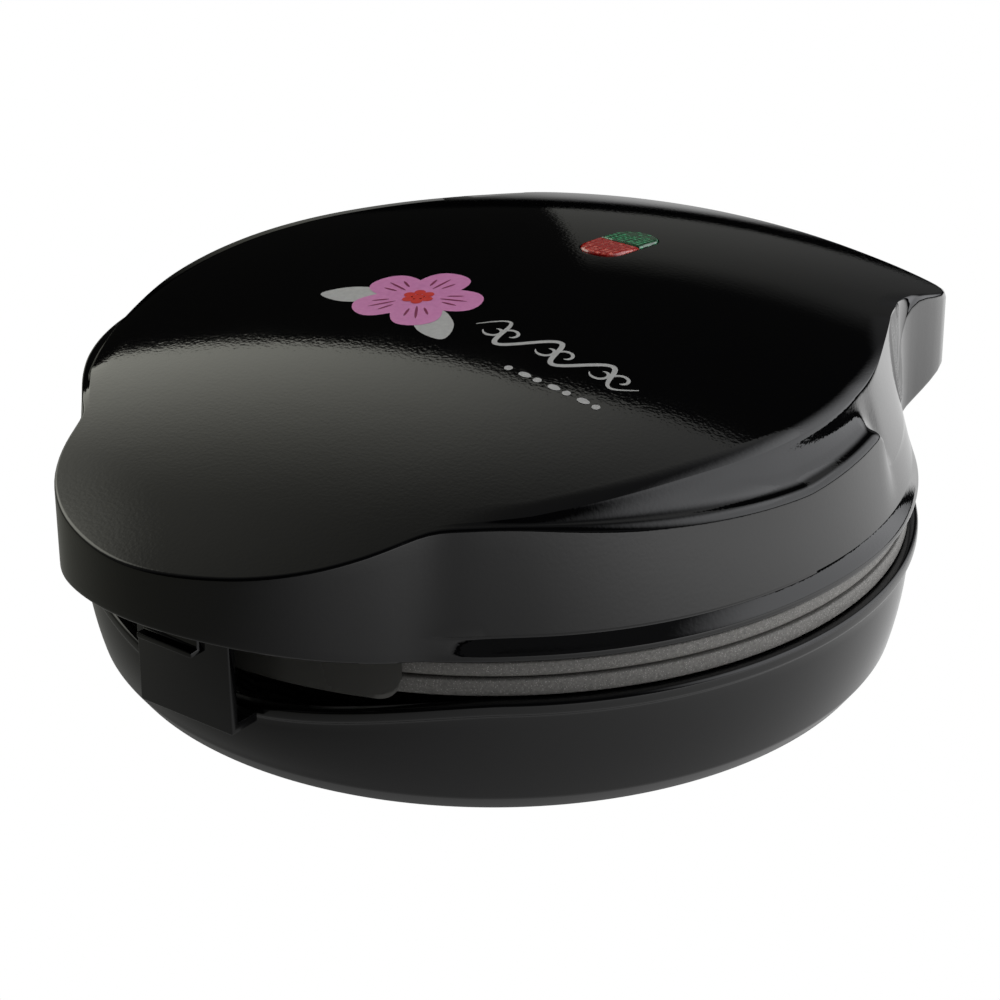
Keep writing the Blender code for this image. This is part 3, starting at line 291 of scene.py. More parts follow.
def grow_rings(shape, levels, count, place_of):
    """A tube of rings around the axis; place_of(level, turn) gives each vertex's place."""
    step = shape.verts.layers.int.new("step")
    ring = bmesh.ops.create_circle(shape, segments=count, radius=1.0)["verts"]
    for number, vert in enumerate(ring):
        vert[step] = number
    edges = list({edge for vert in ring for edge in vert.link_edges})
    first = ring
    for level in range(levels):
        if level:
            grown = bmesh.ops.extrude_edge_only(shape, edges=edges)["geom"]
            ring = [part for part in grown if isinstance(part, bmesh.types.BMVert)]
            edges = [part for part in grown if isinstance(part, bmesh.types.BMEdge) and part.is_boundary]
        for vert in ring:
            vert.co = place_of(level, vert[step])
    return first, ring


def cut(piece, tool, operation="DIFFERENCE", keep_sharp=40):
    """Cut a tool out of a piece, or join it on, and remove the tool; the new edges are marked sharp."""
    change = piece.modifiers.new(tool.name, "BOOLEAN")
    change.operation = operation
    change.solver = "EXACT"
    change.object = tool
    bpy.context.view_layer.update()
    whole = bpy.data.meshes.new_from_object(piece.evaluated_get(bpy.context.evaluated_depsgraph_get()))
    whole.set_sharp_from_angle(angle=math.radians(keep_sharp))
    piece.modifiers.clear()
    old, piece.data = piece.data, whole
    bpy.data.meshes.remove(old)
    bpy.data.objects.remove(tool)


def tool_from(name, shape):
    """A cutter from a bmesh that is already in the machine's own place."""
    bmesh.ops.recalc_face_normals(shape, faces=shape.faces[:])
    bmesh.ops.translate(shape, verts=shape.verts[:], vec=(0, axis_y, foot_height))
    mesh = bpy.data.meshes.new(name)
    shape.to_mesh(mesh)
    shape.free()
    made = bpy.data.objects.new(name, mesh)
    bpy.context.scene.collection.objects.link(made)
    return made


def spin_profile(shape, profile, steps=96, x=0.0, y=0.0):
    """Turn an outline of (radius, height) about a standing axis; a full turn closes on itself."""
    corners = [shape.verts.new((x + radius, y, height)) for radius, height in profile]
    edges = [shape.edges.new(pair) for pair in zip(corners, corners[1:])]
    made = bmesh.ops.spin(shape, geom=corners + edges, cent=(x, y, 0), axis=(0, 0, 1), angle=math.tau,
                          steps=steps, use_merge=True)
    bmesh.ops.remove_doubles(shape, verts=shape.verts[:], dist=0.001 * mm)
    return made


def arc(middle_r, middle_z, radius, start, end, steps):
    """Points of an arc in the section plane, angles in degrees from straight out."""
    points = []
    for i in range(steps + 1):
        turn = math.radians(start + (end - start) * i / steps)
        points.append((middle_r + radius * math.cos(turn), middle_z + radius * math.sin(turn)))
    return points


def smooth_step(value):
    value = min(max(value, 0.0), 1.0)
    return value * value * (3 - 2 * value)


def soft_max(a, b, width):
    """The larger of two values, rounded off where they meet."""
    near = max(width - abs(a - b), 0.0) / width
    return max(a, b) + near * near * width / 4


# %% [markdown]
# ## The lid
# Seen from above, the lid's top is a rounded shield: a broad tab in front is the handle, a narrower one
# behind covers the hinge, and at the sides the top draws in.  There a concave cove sweeps from the top's
# edge out to the shoulder of the round wall.  Below, the wall tucks in above a narrow lip.
# One section per angle holds all of it, so the shell is grown ring by ring.

# %% Outline and crown of the lid
drum_radius = plate_radius + 0.3 * mm
shoulder_radius = drum_radius - 2.7 * mm
lid_wall = 2.5 * mm
lid_edge_height = 41.9 * mm
crown_middle_y = 13.7 * mm
crown_front_share, crown_rear_share, crown_side_share = 0.112, 0.155, 0.127
crown_corner_share = 0.028
side_share = 0.878
front_share = front_reach / rim_radius
rear_share = rear_reach / rim_radius
# Angle from straight right, and reach of the top's edge as a share of the rim's radius
outline_shares = [(-90, front_share), (-80, 0.974 * front_share), (-72, 0.925 * front_share),
                  (-66, 0.867 * front_share), (-60, 0.799 * front_share), (-55, 1.100 * side_share),
                  (-50, 1.075 * side_share), (-40, 1.036 * side_share), (-25, side_share),
                  (-10, side_share), (5, 1.006 * side_share), (20, 1.010 * side_share),
                  (32, 1.021 * side_share), (42, 1.057 * side_share), (48, 1.100 * side_share),
                  (53, 1.175 * side_share), (57, 0.998 * rear_share), (60.5, 1.076 * rear_share),
                  (65, 1.066 * rear_share), (75, 1.022 * rear_share), (90, rear_share)]


def outline_reach(turn):
    """Reach of the top's edge at an angle in degrees, on a smooth curve through the shares."""
    turn = math.degrees(math.atan2(math.sin(turn), abs(math.cos(turn))))
    last = len(outline_shares) - 1
    for i in range(last):
        (a, low), (b, high) = outline_shares[i], outline_shares[i + 1]
        if turn <= b:
            part = (turn - a) / (b - a)
            before, after = outline_shares[max(i - 1, 0)], outline_shares[min(i + 2, last)]
            slope_low = (high - before[1]) / (b - before[0]) * (b - a) if i else 0.0
            slope_high = (after[1] - low) / (after[0] - a) * (b - a) if i + 2 <= last else 0.0
            square, cube = part ** 2, part ** 3
            share = ((2 * cube - 3 * square + 1) * low + (cube - 2 * square + part) * slope_low
                     + (3 * square - 2 * cube) * high + (cube - square) * slope_high)
            return share * rim_radius
    return outline_shares[last][1] * rim_radius


def top_reach(turn):
    """The outline with its small kinks averaged away."""
    weights = (1, 4, 7, 8, 7, 4, 1)
    spread = math.radians(0.9)
    total = sum(weight * outline_reach(turn + (i - 3) * spread) for i, weight in enumerate(weights))
    return total / sum(weights)


def crown(x, y):
    """Height of the lid's top."""
    away, across = (y - crown_middle_y) / rim_radius, x / rim_radius
    fall = crown_front_share if away < 0 else crown_rear_share
    corner = crown_corner_share * (max(away, 0.0) * across) ** 2
    return body_height - rim_radius * (fall * away ** 2 + crown_side_share * across ** 2 + corner)


tip_height = 14.94 * mm
tip_rise = crown(0, -front_reach) - tip_height - lid_edge_height


def lower_edge(reach, side=-90.0):
    """Height of the lid's lower edge, which climbs toward the handle's tip and less toward the hinge."""
    part = max(reach - drum_radius, 0.0) / (front_reach - drum_radius)
    return lid_edge_height + tip_rise * part ** 1.2 * (1 - 0.3 * smooth_step((side - 30) / 15))


print("the lower edge climbs", round(tip_rise / mm, 1), "mm to the tip")

# %% Section of the lid at one angle
turns = 288
crown_rings = 16
cove_rings = 14


def lid_section(turn):
    """Points (radius, height) from the crown down the outside, around the lip and up inside."""
    cosine, sine = math.cos(turn), math.sin(turn)
    side = math.degrees(math.atan2(sine, abs(cosine)))
    reach = top_reach(turn)
    fillet = 5 * mm + 5 * mm * smooth_step((side - 30) / 20)
    steep = smooth_step((side - 11) / 6)
    outer = soft_max(reach, shoulder_radius, fillet)
    drum = soft_max(reach, drum_radius, fillet)
    shoulder_z = 69.6 * mm + 6.4 * mm * (min(abs(side + 7), 22) / 45 if side > 0 else abs(side + 7) / 45) ** 1.15
    shoulder_z += (59 * mm - shoulder_z) * steep
    depth = soft_max(crown(outer * cosine, outer * sine) - shoulder_z, 0.0, 1.5 * mm)
    depth *= 1 - smooth_step((side - 46) / 10)
    bend = 1.0 * mm + 1.4 * mm * max(smooth_step(depth / (4 * mm)), smooth_step((side - 45) / 10))
    near = outer - bend
    tilt = math.atan((crown((near - mm) * cosine, (near - mm) * sine) - crown(near * cosine, near * sine)) / mm)
    tilt += (math.radians(70) - tilt) * steep * min(depth / (4 * mm), 1.0)
    brow = near + bend * math.sin(tilt)
    brow_z = crown(brow * cosine, brow * sine) - depth
    centre_z = brow_z - bend * math.cos(tilt)
    start = min(reach, brow - 1.5 * mm)
    points = []
    for i in range(1, crown_rings + 1):
        r = start * (i / crown_rings) ** 0.85
        points.append((r, crown(r * cosine, r * sine)))
    soft = 0.35 * mm / (brow - start)
    hollow = 3.2 - 2.1 * steep
    for i in range(1, cove_rings + 1):
        part = (i / cove_rings) ** 1.3
        r = start + (brow - start) * part
        eased = part * part * (1 + soft) / (part + soft)
        points.append((r, crown(r * cosine, r * sine) - depth * (1 - (1 - eased) ** hollow)))
    for i in range(1, 7):
        part = tilt + (math.pi / 2 - tilt) * i / 6
        points.append((near + bend * math.sin(part), centre_z + bend * math.cos(part)))
    lower = lower_edge(reach, side)
    tuck = smooth_step((drum_radius + 2.2 * mm - reach) / (5 * mm))
    nip, flare = 1.1 * mm * tuck, (0.5 + 1.3 * smooth_step((side + 15) / 35)) * mm * tuck
    crease_z = lower + 7 * mm
    for i in range(1, 7):
        part = i / 6
        points.append((outer + (drum - outer) * part, centre_z + (crease_z - centre_z) * part))
    points += [(drum - 0.15 * nip, crease_z - 0.15 * mm), (drum - 0.5 * nip, crease_z - 0.3 * mm),
               (drum - 0.85 * nip, crease_z - 0.45 * mm), (drum - nip, crease_z - 0.7 * mm)]
    for i in range(1, 8):
        part = i / 7
        points.append((drum - nip + (nip + flare) * part ** 1.15, lower + (6.3 - 4.4 * part) * mm))
    foot = drum + flare + 0.12 * mm * tuck
    points += [(foot - 0.03 * mm, lower + 1.6 * mm), (foot, lower + 1.0 * mm),
               (foot - 0.1 * mm, lower + 0.45 * mm), (foot - 0.35 * mm, lower + 0.1 * mm), (foot - 0.8 * mm, lower),
               (drum - lid_wall - mm, lower), (drum - lid_wall - 1.3 * mm, lower + 0.3 * mm)]
    points += [(outer - lid_wall - 0.3 * mm, centre_z - 3 * mm), (start - 1.5 * mm, brow_z - lid_wall - mm)]
    for i in range(6, 0, -1):
        r = (start - 3 * mm) * i / 6
        points.append((r, crown(r * cosine, r * sine) - lid_wall))
    return points


# %% Grow the lid's shell
sections = [lid_section(math.tau * i / turns) for i in range(turns)]
shape = bmesh.new()


def lid_place(level, number):
    radius, height = sections[number][level]
    turn = math.tau * number / turns
    return radius * math.cos(turn), radius * math.sin(turn), height


first, last = grow_rings(shape, len(sections[0]), turns, lid_place)
pole = bmesh.ops.extrude_edge_only(shape, edges=[e for e in shape.edges if e.is_boundary])["geom"]
pole_verts = [part for part in pole if isinstance(part, bmesh.types.BMVert)]
upper = [vert for vert in pole_verts if vert.co.z > crown(0, 0) - lid_wall / 2]
lower = [vert for vert in pole_verts if vert not in set(upper)]
bmesh.ops.pointmerge(shape, verts=upper, merge_co=(0, 0, crown(0, 0)))
bmesh.ops.pointmerge(shape, verts=lower, merge_co=(0, 0, crown(0, 0) - lid_wall))
lid_shell = place_on_machine("lid_shell", shape, black_gloss, "lid", keep_sharp=50)
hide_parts("lid_cover")
print("lid shell faces:", len(lid_shell.data.polygons))

# %% [markdown]
# ## The base
# The base is a bowl with a slightly flared wall.  A proud lip runs around its mouth and sinks in front,
# so that fingers reach under the handle.  It is grown in the same way, and the two hinge ears are
# joined on behind.

# %% Section of the base
base_height = 32 * mm
base_bottom_radius = rim_radius - 8.4 * mm
chamfer_radius, chamfer_height = rim_radius - 5.2 * mm, 3.6 * mm
base_skirt = 1.5 * mm
wall_top_radius = rim_radius - 2 * mm
base_wall = 2.6 * mm
floor_opening_radius = rim_radius - 32 * mm
dip_depth = 9.5 * mm
dip_half_width = 70 * mm
lip_height = 3.2 * mm


def lip_level(turn):
    """Height of the lip, which dips in front."""
    x = abs(rim_radius * math.cos(turn))
    if math.sin(turn) > 0 or x > dip_half_width:
        return base_height
    return base_height - dip_depth * smooth_step(1 - x / dip_half_width) ** 0.8


def base_section(turn):
    """Points (radius, height) from the floor's opening out, up the wall, over the lip and back inside."""
    top = lip_level(turn)
    lip_under = top - lip_height
    neck = lip_under - 1.1 * mm
    points = [(floor_opening_radius, 0.0), (floor_opening_radius + 10 * mm, 0.0), (base_bottom_radius - 4 * mm, 0.0),
              (base_bottom_radius - 2 * mm, -0.8 * base_skirt), (base_bottom_radius - 1 * mm, -base_skirt),
              (base_bottom_radius - 0.4 * mm, -base_skirt), (base_bottom_radius, -base_skirt + 0.35 * mm),
              (chamfer_radius - 0.45 * mm, chamfer_height - 1.0 * mm),
              (chamfer_radius - 0.15 * mm, chamfer_height - 0.5 * mm), (chamfer_radius, chamfer_height)]
    for i in range(1, 10):
        part = i / 9
        swell = 1 - (1 - part) ** 2.0
        points.append((chamfer_radius + (wall_top_radius - chamfer_radius) * swell,
                       chamfer_height + (neck - 0.6 * mm - chamfer_height) * part))
    points += [(wall_top_radius + 0.15 * mm, neck - 0.1 * mm), (wall_top_radius + 0.6 * mm, neck + 0.35 * mm),
               (rim_radius - 0.5 * mm, lip_under - 0.25 * mm), (rim_radius - 0.1 * mm, lip_under + 0.15 * mm),
               (rim_radius, lip_under + 0.7 * mm)]
    points += arc(rim_radius - 1.0 * mm, top - 1.0 * mm, 1.0 * mm, 0, 90, 5)
    points += arc(rim_radius - lip_height + 0.5 * mm, top - 0.5 * mm, 0.5 * mm, 90, 180, 3)
    inner = wall_top_radius - base_wall
    points += [(inner, top - lip_height - 0.5 * mm), (base_bottom_radius - base_wall, 2 * base_wall),
               (base_bottom_radius - 2 * base_wall, base_wall), (floor_opening_radius, base_wall)]
    return points


sections = [base_section(math.tau * i / turns) for i in range(turns)]
shape = bmesh.new()
first, last = grow_rings(shape, len(sections[0]), turns, lid_place)
bmesh.ops.bridge_loops(shape, edges=[edge for edge in shape.edges if edge.is_boundary])
base_shell = place_on_machine("base_shell", shape, base_gloss, "base", keep_sharp=50)
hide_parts("base_housing")

# %% [markdown]
# The ears are flat cheeks with a round knuckle for the pin.  Their outline is extruded sideways and its
# edges are bevelled, because no moulded edge is sharp.

# %% Hinge ears
hinge_y = rim_radius + 3 * mm
hinge_z = 41 * mm
ear_inner, ear_outer = 30 * mm, 40 * mm


def side_slab(shape, outline, start, end, edge_round=0.5 * mm):
    """A slab from start to end along X whose side view is the outline of (y, z) points."""
    verts = [shape.verts.new((start, y, z)) for y, z in outline]
    face = shape.faces.new(verts)
    grown = bmesh.ops.extrude_face_region(shape, geom=[face])["geom"]
    moved = [part for part in grown if isinstance(part, bmesh.types.BMVert)]
    bmesh.ops.translate(shape, verts=moved, vec=(end - start, 0, 0))
    body = set(verts + moved)
    edges = [edge for edge in shape.edges if edge.verts[0] in body and edge.verts[1] in body]
    sharp = [edge for edge in edges if abs(edge.calc_face_angle(0.0)) > math.radians(30)]
    if edge_round:
        bmesh.ops.bevel(shape, geom=sharp, offset=edge_round, segments=3, profile=0.5, affect="EDGES",
                        material=-1, clamp_overlap=True)


knuckle_radius = 5.5 * mm
ear_front_y = 106 * mm
ear_root_y = rim_radius - 11 * mm
ear_outline = [(ear_root_y, 14 * mm), (rim_radius - 3.3 * mm, 14 * mm)]
ear_outline += [(hinge_y + 3.9 * mm, base_height)]
ear_outline += [(hinge_y + r, hinge_z + z) for r, z in arc(0, 0, knuckle_radius, -30, 200, 14)]
ear_outline += [(ear_front_y, hinge_z - 3 * mm), (ear_front_y, base_height - 0.5 * mm),
                (ear_root_y, base_height - 0.5 * mm)]
shape = bmesh.new()
for side in (-1, 1):
    side_slab(shape, ear_outline, side * ear_inner, side * ear_outer)
cut(base_shell, tool_from("hinge_ears", shape), "UNION", keep_sharp=50)
shape = bmesh.new()
turned = Matrix.Rotation(math.radians(90), 4, "Y")
bmesh.ops.create_cone(shape, cap_ends=True, segments=32, radius1=2.4 * mm, radius2=2.4 * mm, depth=0.09,
                      matrix=Matrix.Translation((0, hinge_y, hinge_z)) @ turned)
bmesh.ops.create_cone(shape, cap_ends=True, segments=48, radius1=5.8 * mm, radius2=5.8 * mm, depth=0.02,
                      matrix=Matrix.Translation((0, 105 * mm, 15 * mm)) @ Matrix.Rotation(math.radians(90), 4, "X"))
cut(base_shell, tool_from("pin_and_cord_holes", shape), keep_sharp=50)
print("base shell faces:", len(base_shell.data.polygons))

# %% [markdown]
# ## The baking plates
# Each plate is turned from one profile, with a raised rim and a sunken web.  The cups are turned as
# well: their outsides are joined on, and their insides, with rounded mouths and feet, are cut out.

# %% Baking plates
seam_height = base_height + 5 * mm
plate_rim_height = 4.4 * mm
plate_rim_width = 4.5 * mm
plate_web = 2.2 * mm
web_drop = 1.2 * mm
half_gap = 0.15 * mm
cup_radius, cup_ring = 28 * mm, 67 * mm
cup_wall = 1.8 * mm
cup_places = [(0.0, 0.0)] + [(cup_ring * math.cos(math.tau * i / 6), cup_ring * math.sin(math.tau * i / 6))
                             for i in range(6)]
boss_ring = plate_radius - 21.2 * mm
boss_places = [(boss_ring * math.cos(math.radians(a)), boss_ring * math.sin(math.radians(a)))
               for a in (30, 150, 270)]


def baking_plate(name, node, body, up, foot_radius, depth):
    """One plate; up is 1 for the lower plate, whose cups hang down, and -1 for the upper one."""
    seam = seam_height - up * half_gap
    web = seam - up * web_drop

    def flip(points, level):
        return [(r, level - up * z) for r, z in points]

    skirt = 2.2 * mm
    seam_round = (1.2 - 0.7 * up) * mm
    inner = plate_radius - plate_rim_width
    rim = [(0.0, web_drop), (inner - 2.2 * mm, web_drop), (inner - 1.2 * mm, web_drop - 0.3 * mm),
           (inner - 0.5 * mm, 0.25 * mm), (inner + 0.3 * mm, 0.0)]
    rim += arc(plate_radius - seam_round, seam_round, seam_round, -90, 0, 6)
    rim += arc(plate_radius - 0.5 * mm, plate_rim_height - 0.5 * mm, 0.5 * mm, 0, 90, 4)
    rim += [(plate_radius - skirt, plate_rim_height), (plate_radius - skirt, web_drop + plate_web + 0.4 * mm),
            (plate_radius - skirt - 0.6 * mm, web_drop + plate_web), (0.0, web_drop + plate_web)]
    shape = bmesh.new()
    spin_profile(shape, flip(rim, seam), 192)
    made = place_on_machine(name, shape, coating, body, keep_sharp=35)
    shape = bmesh.new()
    slope = (cup_radius - foot_radius) / depth
    outer = [(0.0, 0.4 * mm), (cup_radius + cup_wall, 0.4 * mm)]
    outer += [(foot_radius + cup_wall + 1.2 * mm, depth + cup_wall - 2.4 * mm),
              (foot_radius + cup_wall - 0.2 * mm, depth + cup_wall - 0.7 * mm),
              (foot_radius + cup_wall - 2.2 * mm, depth + cup_wall), (0.0, depth + cup_wall)]
    for x, y in cup_places:
        spin_profile(shape, flip(outer, web), 56, x, y)
    cut(made, tool_from(name + "_cups", shape), "UNION", keep_sharp=35)
    shape = bmesh.new()
    inside = [(0.0, -2 * mm), (cup_radius + 1.3 * mm, -2 * mm), (cup_radius + 1.3 * mm, -0.05 * mm),
              (cup_radius + 0.55 * mm, 0.25 * mm), (cup_radius - 0.05 * mm, 0.9 * mm),
              (cup_radius - slope * 2 * mm - 0.1 * mm, 2.0 * mm),
              (foot_radius + slope * 4 * mm, depth - 4 * mm), (foot_radius - 0.4 * mm, depth - 1.6 * mm),
              (foot_radius - 2.0 * mm, depth - 0.4 * mm), (foot_radius - 4.2 * mm, depth), (0.0, depth)]
    for x, y in cup_places:
        spin_profile(shape, flip(inside, web), 56, x, y)
    sink = [(0.0, -2 * mm), (3.4 * mm, -2 * mm), (3.4 * mm, 0.02 * mm), (1.9 * mm, 0.9 * mm), (1.9 * mm, 4 * mm),
            (0.0, 4 * mm)]
    for x, y in boss_places:
        spin_profile(shape, flip(sink, web), 28, x, y)
    cut(made, tool_from(name + "_hollows", shape), keep_sharp=35)
    made.data.shade_smooth()
    made.data.set_sharp_from_angle(angle=math.radians(35))
    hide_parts(node)
    print(name, "faces:", len(made.data.polygons))
    return made


web_top = seam_height - half_gap - web_drop
cup_depth = web_top - 1.8 * mm - 0.55 * mm - 0.8 * mm - 8.5 * mm
baking_plate("lower_plate_casting", "lower_baking_plate", "base", 1, 21.5 * mm, cup_depth)
baking_plate("upper_plate_casting", "upper_baking_plate", "lid", -1, 19 * mm, 14 * mm)

# %% [markdown]
# ## Apron, keeper and latch
# A smooth apron under the handle hides the plates' edges in front.  Below it the keeper stands up from
# the bowl as an upright tongue, and the latch lever hangs from a pin in the handle and snaps over it.

# %% Front apron
apron_inner = plate_radius + 0.6 * mm
apron_outer = apron_inner + 1.6 * mm
apron_low = seam_height - plate_rim_height
apron_half = math.radians(26.5)
apron_corner = 6 * mm
apron_steps = 96


def apron_shape():
    """A curved skirt whose lower corners are round: a strip grown along the arc, then thickened."""
    shape = bmesh.new()
    rows = 8
    grid = bmesh.ops.create_grid(shape, x_segments=apron_steps, y_segments=rows, size=0.5)["verts"]
    for vert in grid:
        along, up = vert.co.x * 2, vert.co.y + 0.5
        turn = -math.pi / 2 + apron_half * along
        high = lower_edge(top_reach(turn)) - 0.3 * mm
        from_end = apron_half * (1 - abs(along)) * apron_outer
        corner = max(apron_corner - from_end, 0.0)
        low = apron_low + apron_corner - math.sqrt(max(apron_corner ** 2 - corner ** 2, 0.0))
        height = low + (high - low) * up
        vert.co = (apron_outer * math.cos(turn), apron_outer * math.sin(turn), height)
    bmesh.ops.solidify(shape, geom=shape.faces[:], thickness=apron_outer - apron_inner)
    return shape


shape = apron_shape()
sharp = [edge for edge in shape.edges if edge.calc_face_angle(0.0) > math.radians(50)]
bmesh.ops.bevel(shape, geom=sharp, offset=0.35 * mm, segments=2, profile=0.5, affect="EDGES", material=-1)
# The apron's grey base colour is painted sheen, not the plastic's own tone.
apron = place_on_machine("apron_skirt", shape, apron_satin_painted_sheen, "lid")
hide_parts("front_apron")

# %% Latch keeper
keeper_y = -rim_radius - 9.5 * mm
keeper_half_width = 14.9 * mm
keeper_foot, keeper_top = 19.7 * mm, 49.0 * mm
keeper_sheet = 2.5 * mm
ledge, ledge_height = 4 * mm, 3 * mm
keeper_outline = [(keeper_y, keeper_foot), (-rim_radius - 0.3 * mm, keeper_foot),
                  (-rim_radius - 0.3 * mm, keeper_foot + keeper_sheet),
                  (keeper_y + keeper_sheet, keeper_foot + keeper_sheet), (keeper_y + keeper_sheet, keeper_top),
                  (keeper_y - ledge * 0.6, keeper_top), (keeper_y - ledge, keeper_top - ledge_height * 0.6),
                  (keeper_y - ledge, keeper_top - ledge_height), (keeper_y, keeper_top - ledge_height)]
shape = bmesh.new()
side_slab(shape, keeper_outline, -keeper_half_width, keeper_half_width, 0.45 * mm)
keeper = place_on_machine("keeper_tongue", shape, base_gloss, "base")
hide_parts("latch_keeper")

# %% Latch lever
handle_cover_under = crown(0, -front_reach) - tip_height + 0.5 * mm
latch_y = keeper_y - 4.7 * mm
latch_z = handle_cover_under + 6.6 * mm
latch_low = handle_cover_under - 9.5 * mm
latch_back = keeper_y - ledge - 0.6 * mm
latch_web, latch_boss = 2.8 * mm, 3.4 * mm
latch_left, latch_right = -5.2 * mm, 12.3 * mm
latch_lip, latch_lip_y = 1.6 * mm, latch_y - 5 * mm
boss_arc = [(latch_y + r, latch_z + z) for r, z in arc(0, 0, latch_boss, -20, 200, 12)]
lever_outline = [(latch_back, latch_low), (latch_back, latch_z - latch_boss - 1.4 * mm)] + boss_arc
lever_outline += [(latch_back - latch_web, latch_z - latch_boss - 1.4 * mm),
                  (latch_back - latch_web, latch_low + latch_lip), (latch_lip_y, latch_low + latch_lip),
                  (latch_lip_y, latch_low)]
shape = bmesh.new()
side_slab(shape, lever_outline, latch_left, latch_right, 0.4 * mm)
lever = place_on_machine("latch_paddle", shape, black_gloss, "latch")
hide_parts("latch_lever")
shape = bmesh.new()
bmesh.ops.create_cone(shape, cap_ends=True, segments=28, radius1=1.6 * mm, radius2=1.6 * mm, depth=0.05,
                      matrix=Matrix.Translation((0, latch_y, latch_z)) @ turned)
cut(lever, tool_from("latch_bore", shape))

# %% [markdown]
# ## Lamp window
# The window is a capsule set in the crown: a red half for the mains and a green half for the heat.  The
# shell gets a slot for it, and each half is a cap of clear coloured plastic over small prisms.

# %% Lamp slot and lenses
lamp_x, lamp_y = 2 * mm, 52.5 * mm
lamp_half_width, lamp_half_run = 6.5 * mm, 7 * mm


def capsule_points(half, side, run, gap_width, steps=16):
    """Half a capsule from its split to the round end on one side along Y."""
    points = [(lamp_x + half, lamp_y + side * gap_width)]
    points += [(lamp_x + x, lamp_y + side * (run + y)) for x, y in arc(0, 0, half, 0, 180, steps)]
    points.append((lamp_x - half, lamp_y + side * gap_width))
    return points


shape = bmesh.new()
rim = capsule_points(lamp_half_width + 0.3 * mm, 1, lamp_half_run, 0.0)[1:-1]
rim += capsule_points(lamp_half_width + 0.3 * mm, -1, lamp_half_run, 0.0)[1:-1][::-1]
face = shape.faces.new([shape.verts.new((x, y, body_height + 2 * mm)) for x, y in rim])
grown = bmesh.ops.extrude_face_region(shape, geom=[face])["geom"]
bmesh.ops.translate(shape, verts=[part for part in grown if isinstance(part, bmesh.types.BMVert)],
                    vec=(0, 0, -14 * mm))
cut(lid_shell, tool_from("lamp_slot", shape), keep_sharp=50)


def lens_material(name, deep, bright):
    """Clear coloured plastic over small square prisms; their bright flecks are painted highlights, a paler tint in the
    base colour at the middle of each prism, with bumps for the facets.
    """
    made, tree, shader, place = finish(name, roughness=0.1, ior=1.58, coat_weight=0.6, coat_roughness=0.03)
    prisms = add(tree, "ShaderNodeTexVoronoi", {"Vector": place, "Scale": 1 / (1.7 * mm), "Randomness": 0.35},
                 distance="CHEBYCHEV")
    painted_glints = add(tree, "ShaderNodeMapRange", {"Value": prisms.outputs["Distance"], "From Min": 0.12,
                                               "From Max": 0.42, "To Min": 1.0, "To Max": 0.0})
    # Painted highlights: the paler colour is mixed in at the middle of each prism cell.
    tone = add(tree, "ShaderNodeMix", {0: painted_glints.outputs[0], 6: colour(deep), 7: colour(bright)}, data_type="RGBA")
    facets = add(tree, "ShaderNodeBump", {"Height": prisms.outputs["Distance"], "Strength": 0.7,
                                          "Distance": 0.35 * mm})
    tree.links.new(tone.outputs[2], shader.inputs["Base Color"])
    tree.links.new(facets.outputs[0], shader.inputs["Normal"])
    return made


# The second, paler colour of each lens is the tint of its painted highlights.
red_plastic = lens_material("red_polycarbonate", "b81510", "ff8474")
green_plastic = lens_material("green_polycarbonate", "0a4d2a", "4cc487")
for name, node, side, look in (("red_lens_cap", "red_lens", -1, red_plastic),
                               ("green_lens_cap", "green_lens", 1, green_plastic)):
    shape = bmesh.new()
    outline = capsule_points(lamp_half_width, side, lamp_half_run, 0.15 * mm)
    bottom = shape.faces.new([shape.verts.new((x, y, crown(x, y) - 3.5 * mm)) for x, y in outline])
    level = bottom
    for inset, rise in ((0.0, 3.4 * mm), (0.12 * mm, 0.35 * mm), (0.5 * mm, 0.3 * mm), (1.4 * mm, 0.12 * mm),
                        (2.6 * mm, 0.0)):
        if inset:
            bmesh.ops.inset_region(shape, faces=[level], thickness=0.4 * mm if inset > 0.4 * mm else inset)
            bmesh.ops.translate(shape, verts=level.verts[:], vec=(0, 0, rise))
        else:
            grown = bmesh.ops.extrude_face_region(shape, geom=[level])["geom"]
            level = [part for part in grown if isinstance(part, bmesh.types.BMFace)][0]
            bmesh.ops.translate(shape, verts=level.verts[:], vec=(0, 0, rise))
    lens = place_on_machine(name, shape, look, "lid", keep_sharp=60)
    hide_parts(node)

# %% [markdown]
# ## The printed ornament
# The lid carries a pad-printed ornament: a pink blossom with silver-grey leaves, and a running scroll
# beside it.  Pad printing leaves a skin of ink far thinner than paper.  Each colour is a flat mesh that
# is draped over the crown a tenth of a millimetre above it, so it bends the way the lid does.

# %% Inks
def ink(name, pale, dark, roughness):
    """Printed ink: almost even, with the faint cloud of a pad print."""
    made, tree, shader, place = finish(name, roughness=roughness)
    cloud = add(tree, "ShaderNodeTexNoise", {"Vector": place, "Scale": 1 / (1.3 * mm), "Detail": 4.0})
    tone = add(tree, "ShaderNodeMix", {0: cloud.outputs[0], 6: colour(dark), 7: colour(pale)}, data_type="RGBA")
    tree.links.new(tone.outputs[2], shader.inputs["Base Color"])
    return made


pink_ink = ink("pad_printed_pink_ink", "f0a0d6", "dc82c0", 0.35)
rose_ink = ink("pad_printed_rose_ink", "9a2b62", "7f1f4f", 0.35)
red_ink = ink("pad_printed_red_ink", "f0483f", "d63229", 0.3)
silver_ink = ink("pad_printed_silver_ink", "d4d4d4", "b4b4b4", 0.42)
ink_lift = 0.09 * mm


def drape(name, shape, look, lift=ink_lift):
    """Lay a flat shape on the crown and let it ride on the lid."""
    for vert in shape.verts:
        vert.co.z = crown(vert.co.x, vert.co.y) + lift
    made = place_on_machine(name, shape, look, "lid")
    if made.data.polygons[0].normal.z < 0:
        made.data.flip_normals()
    return made


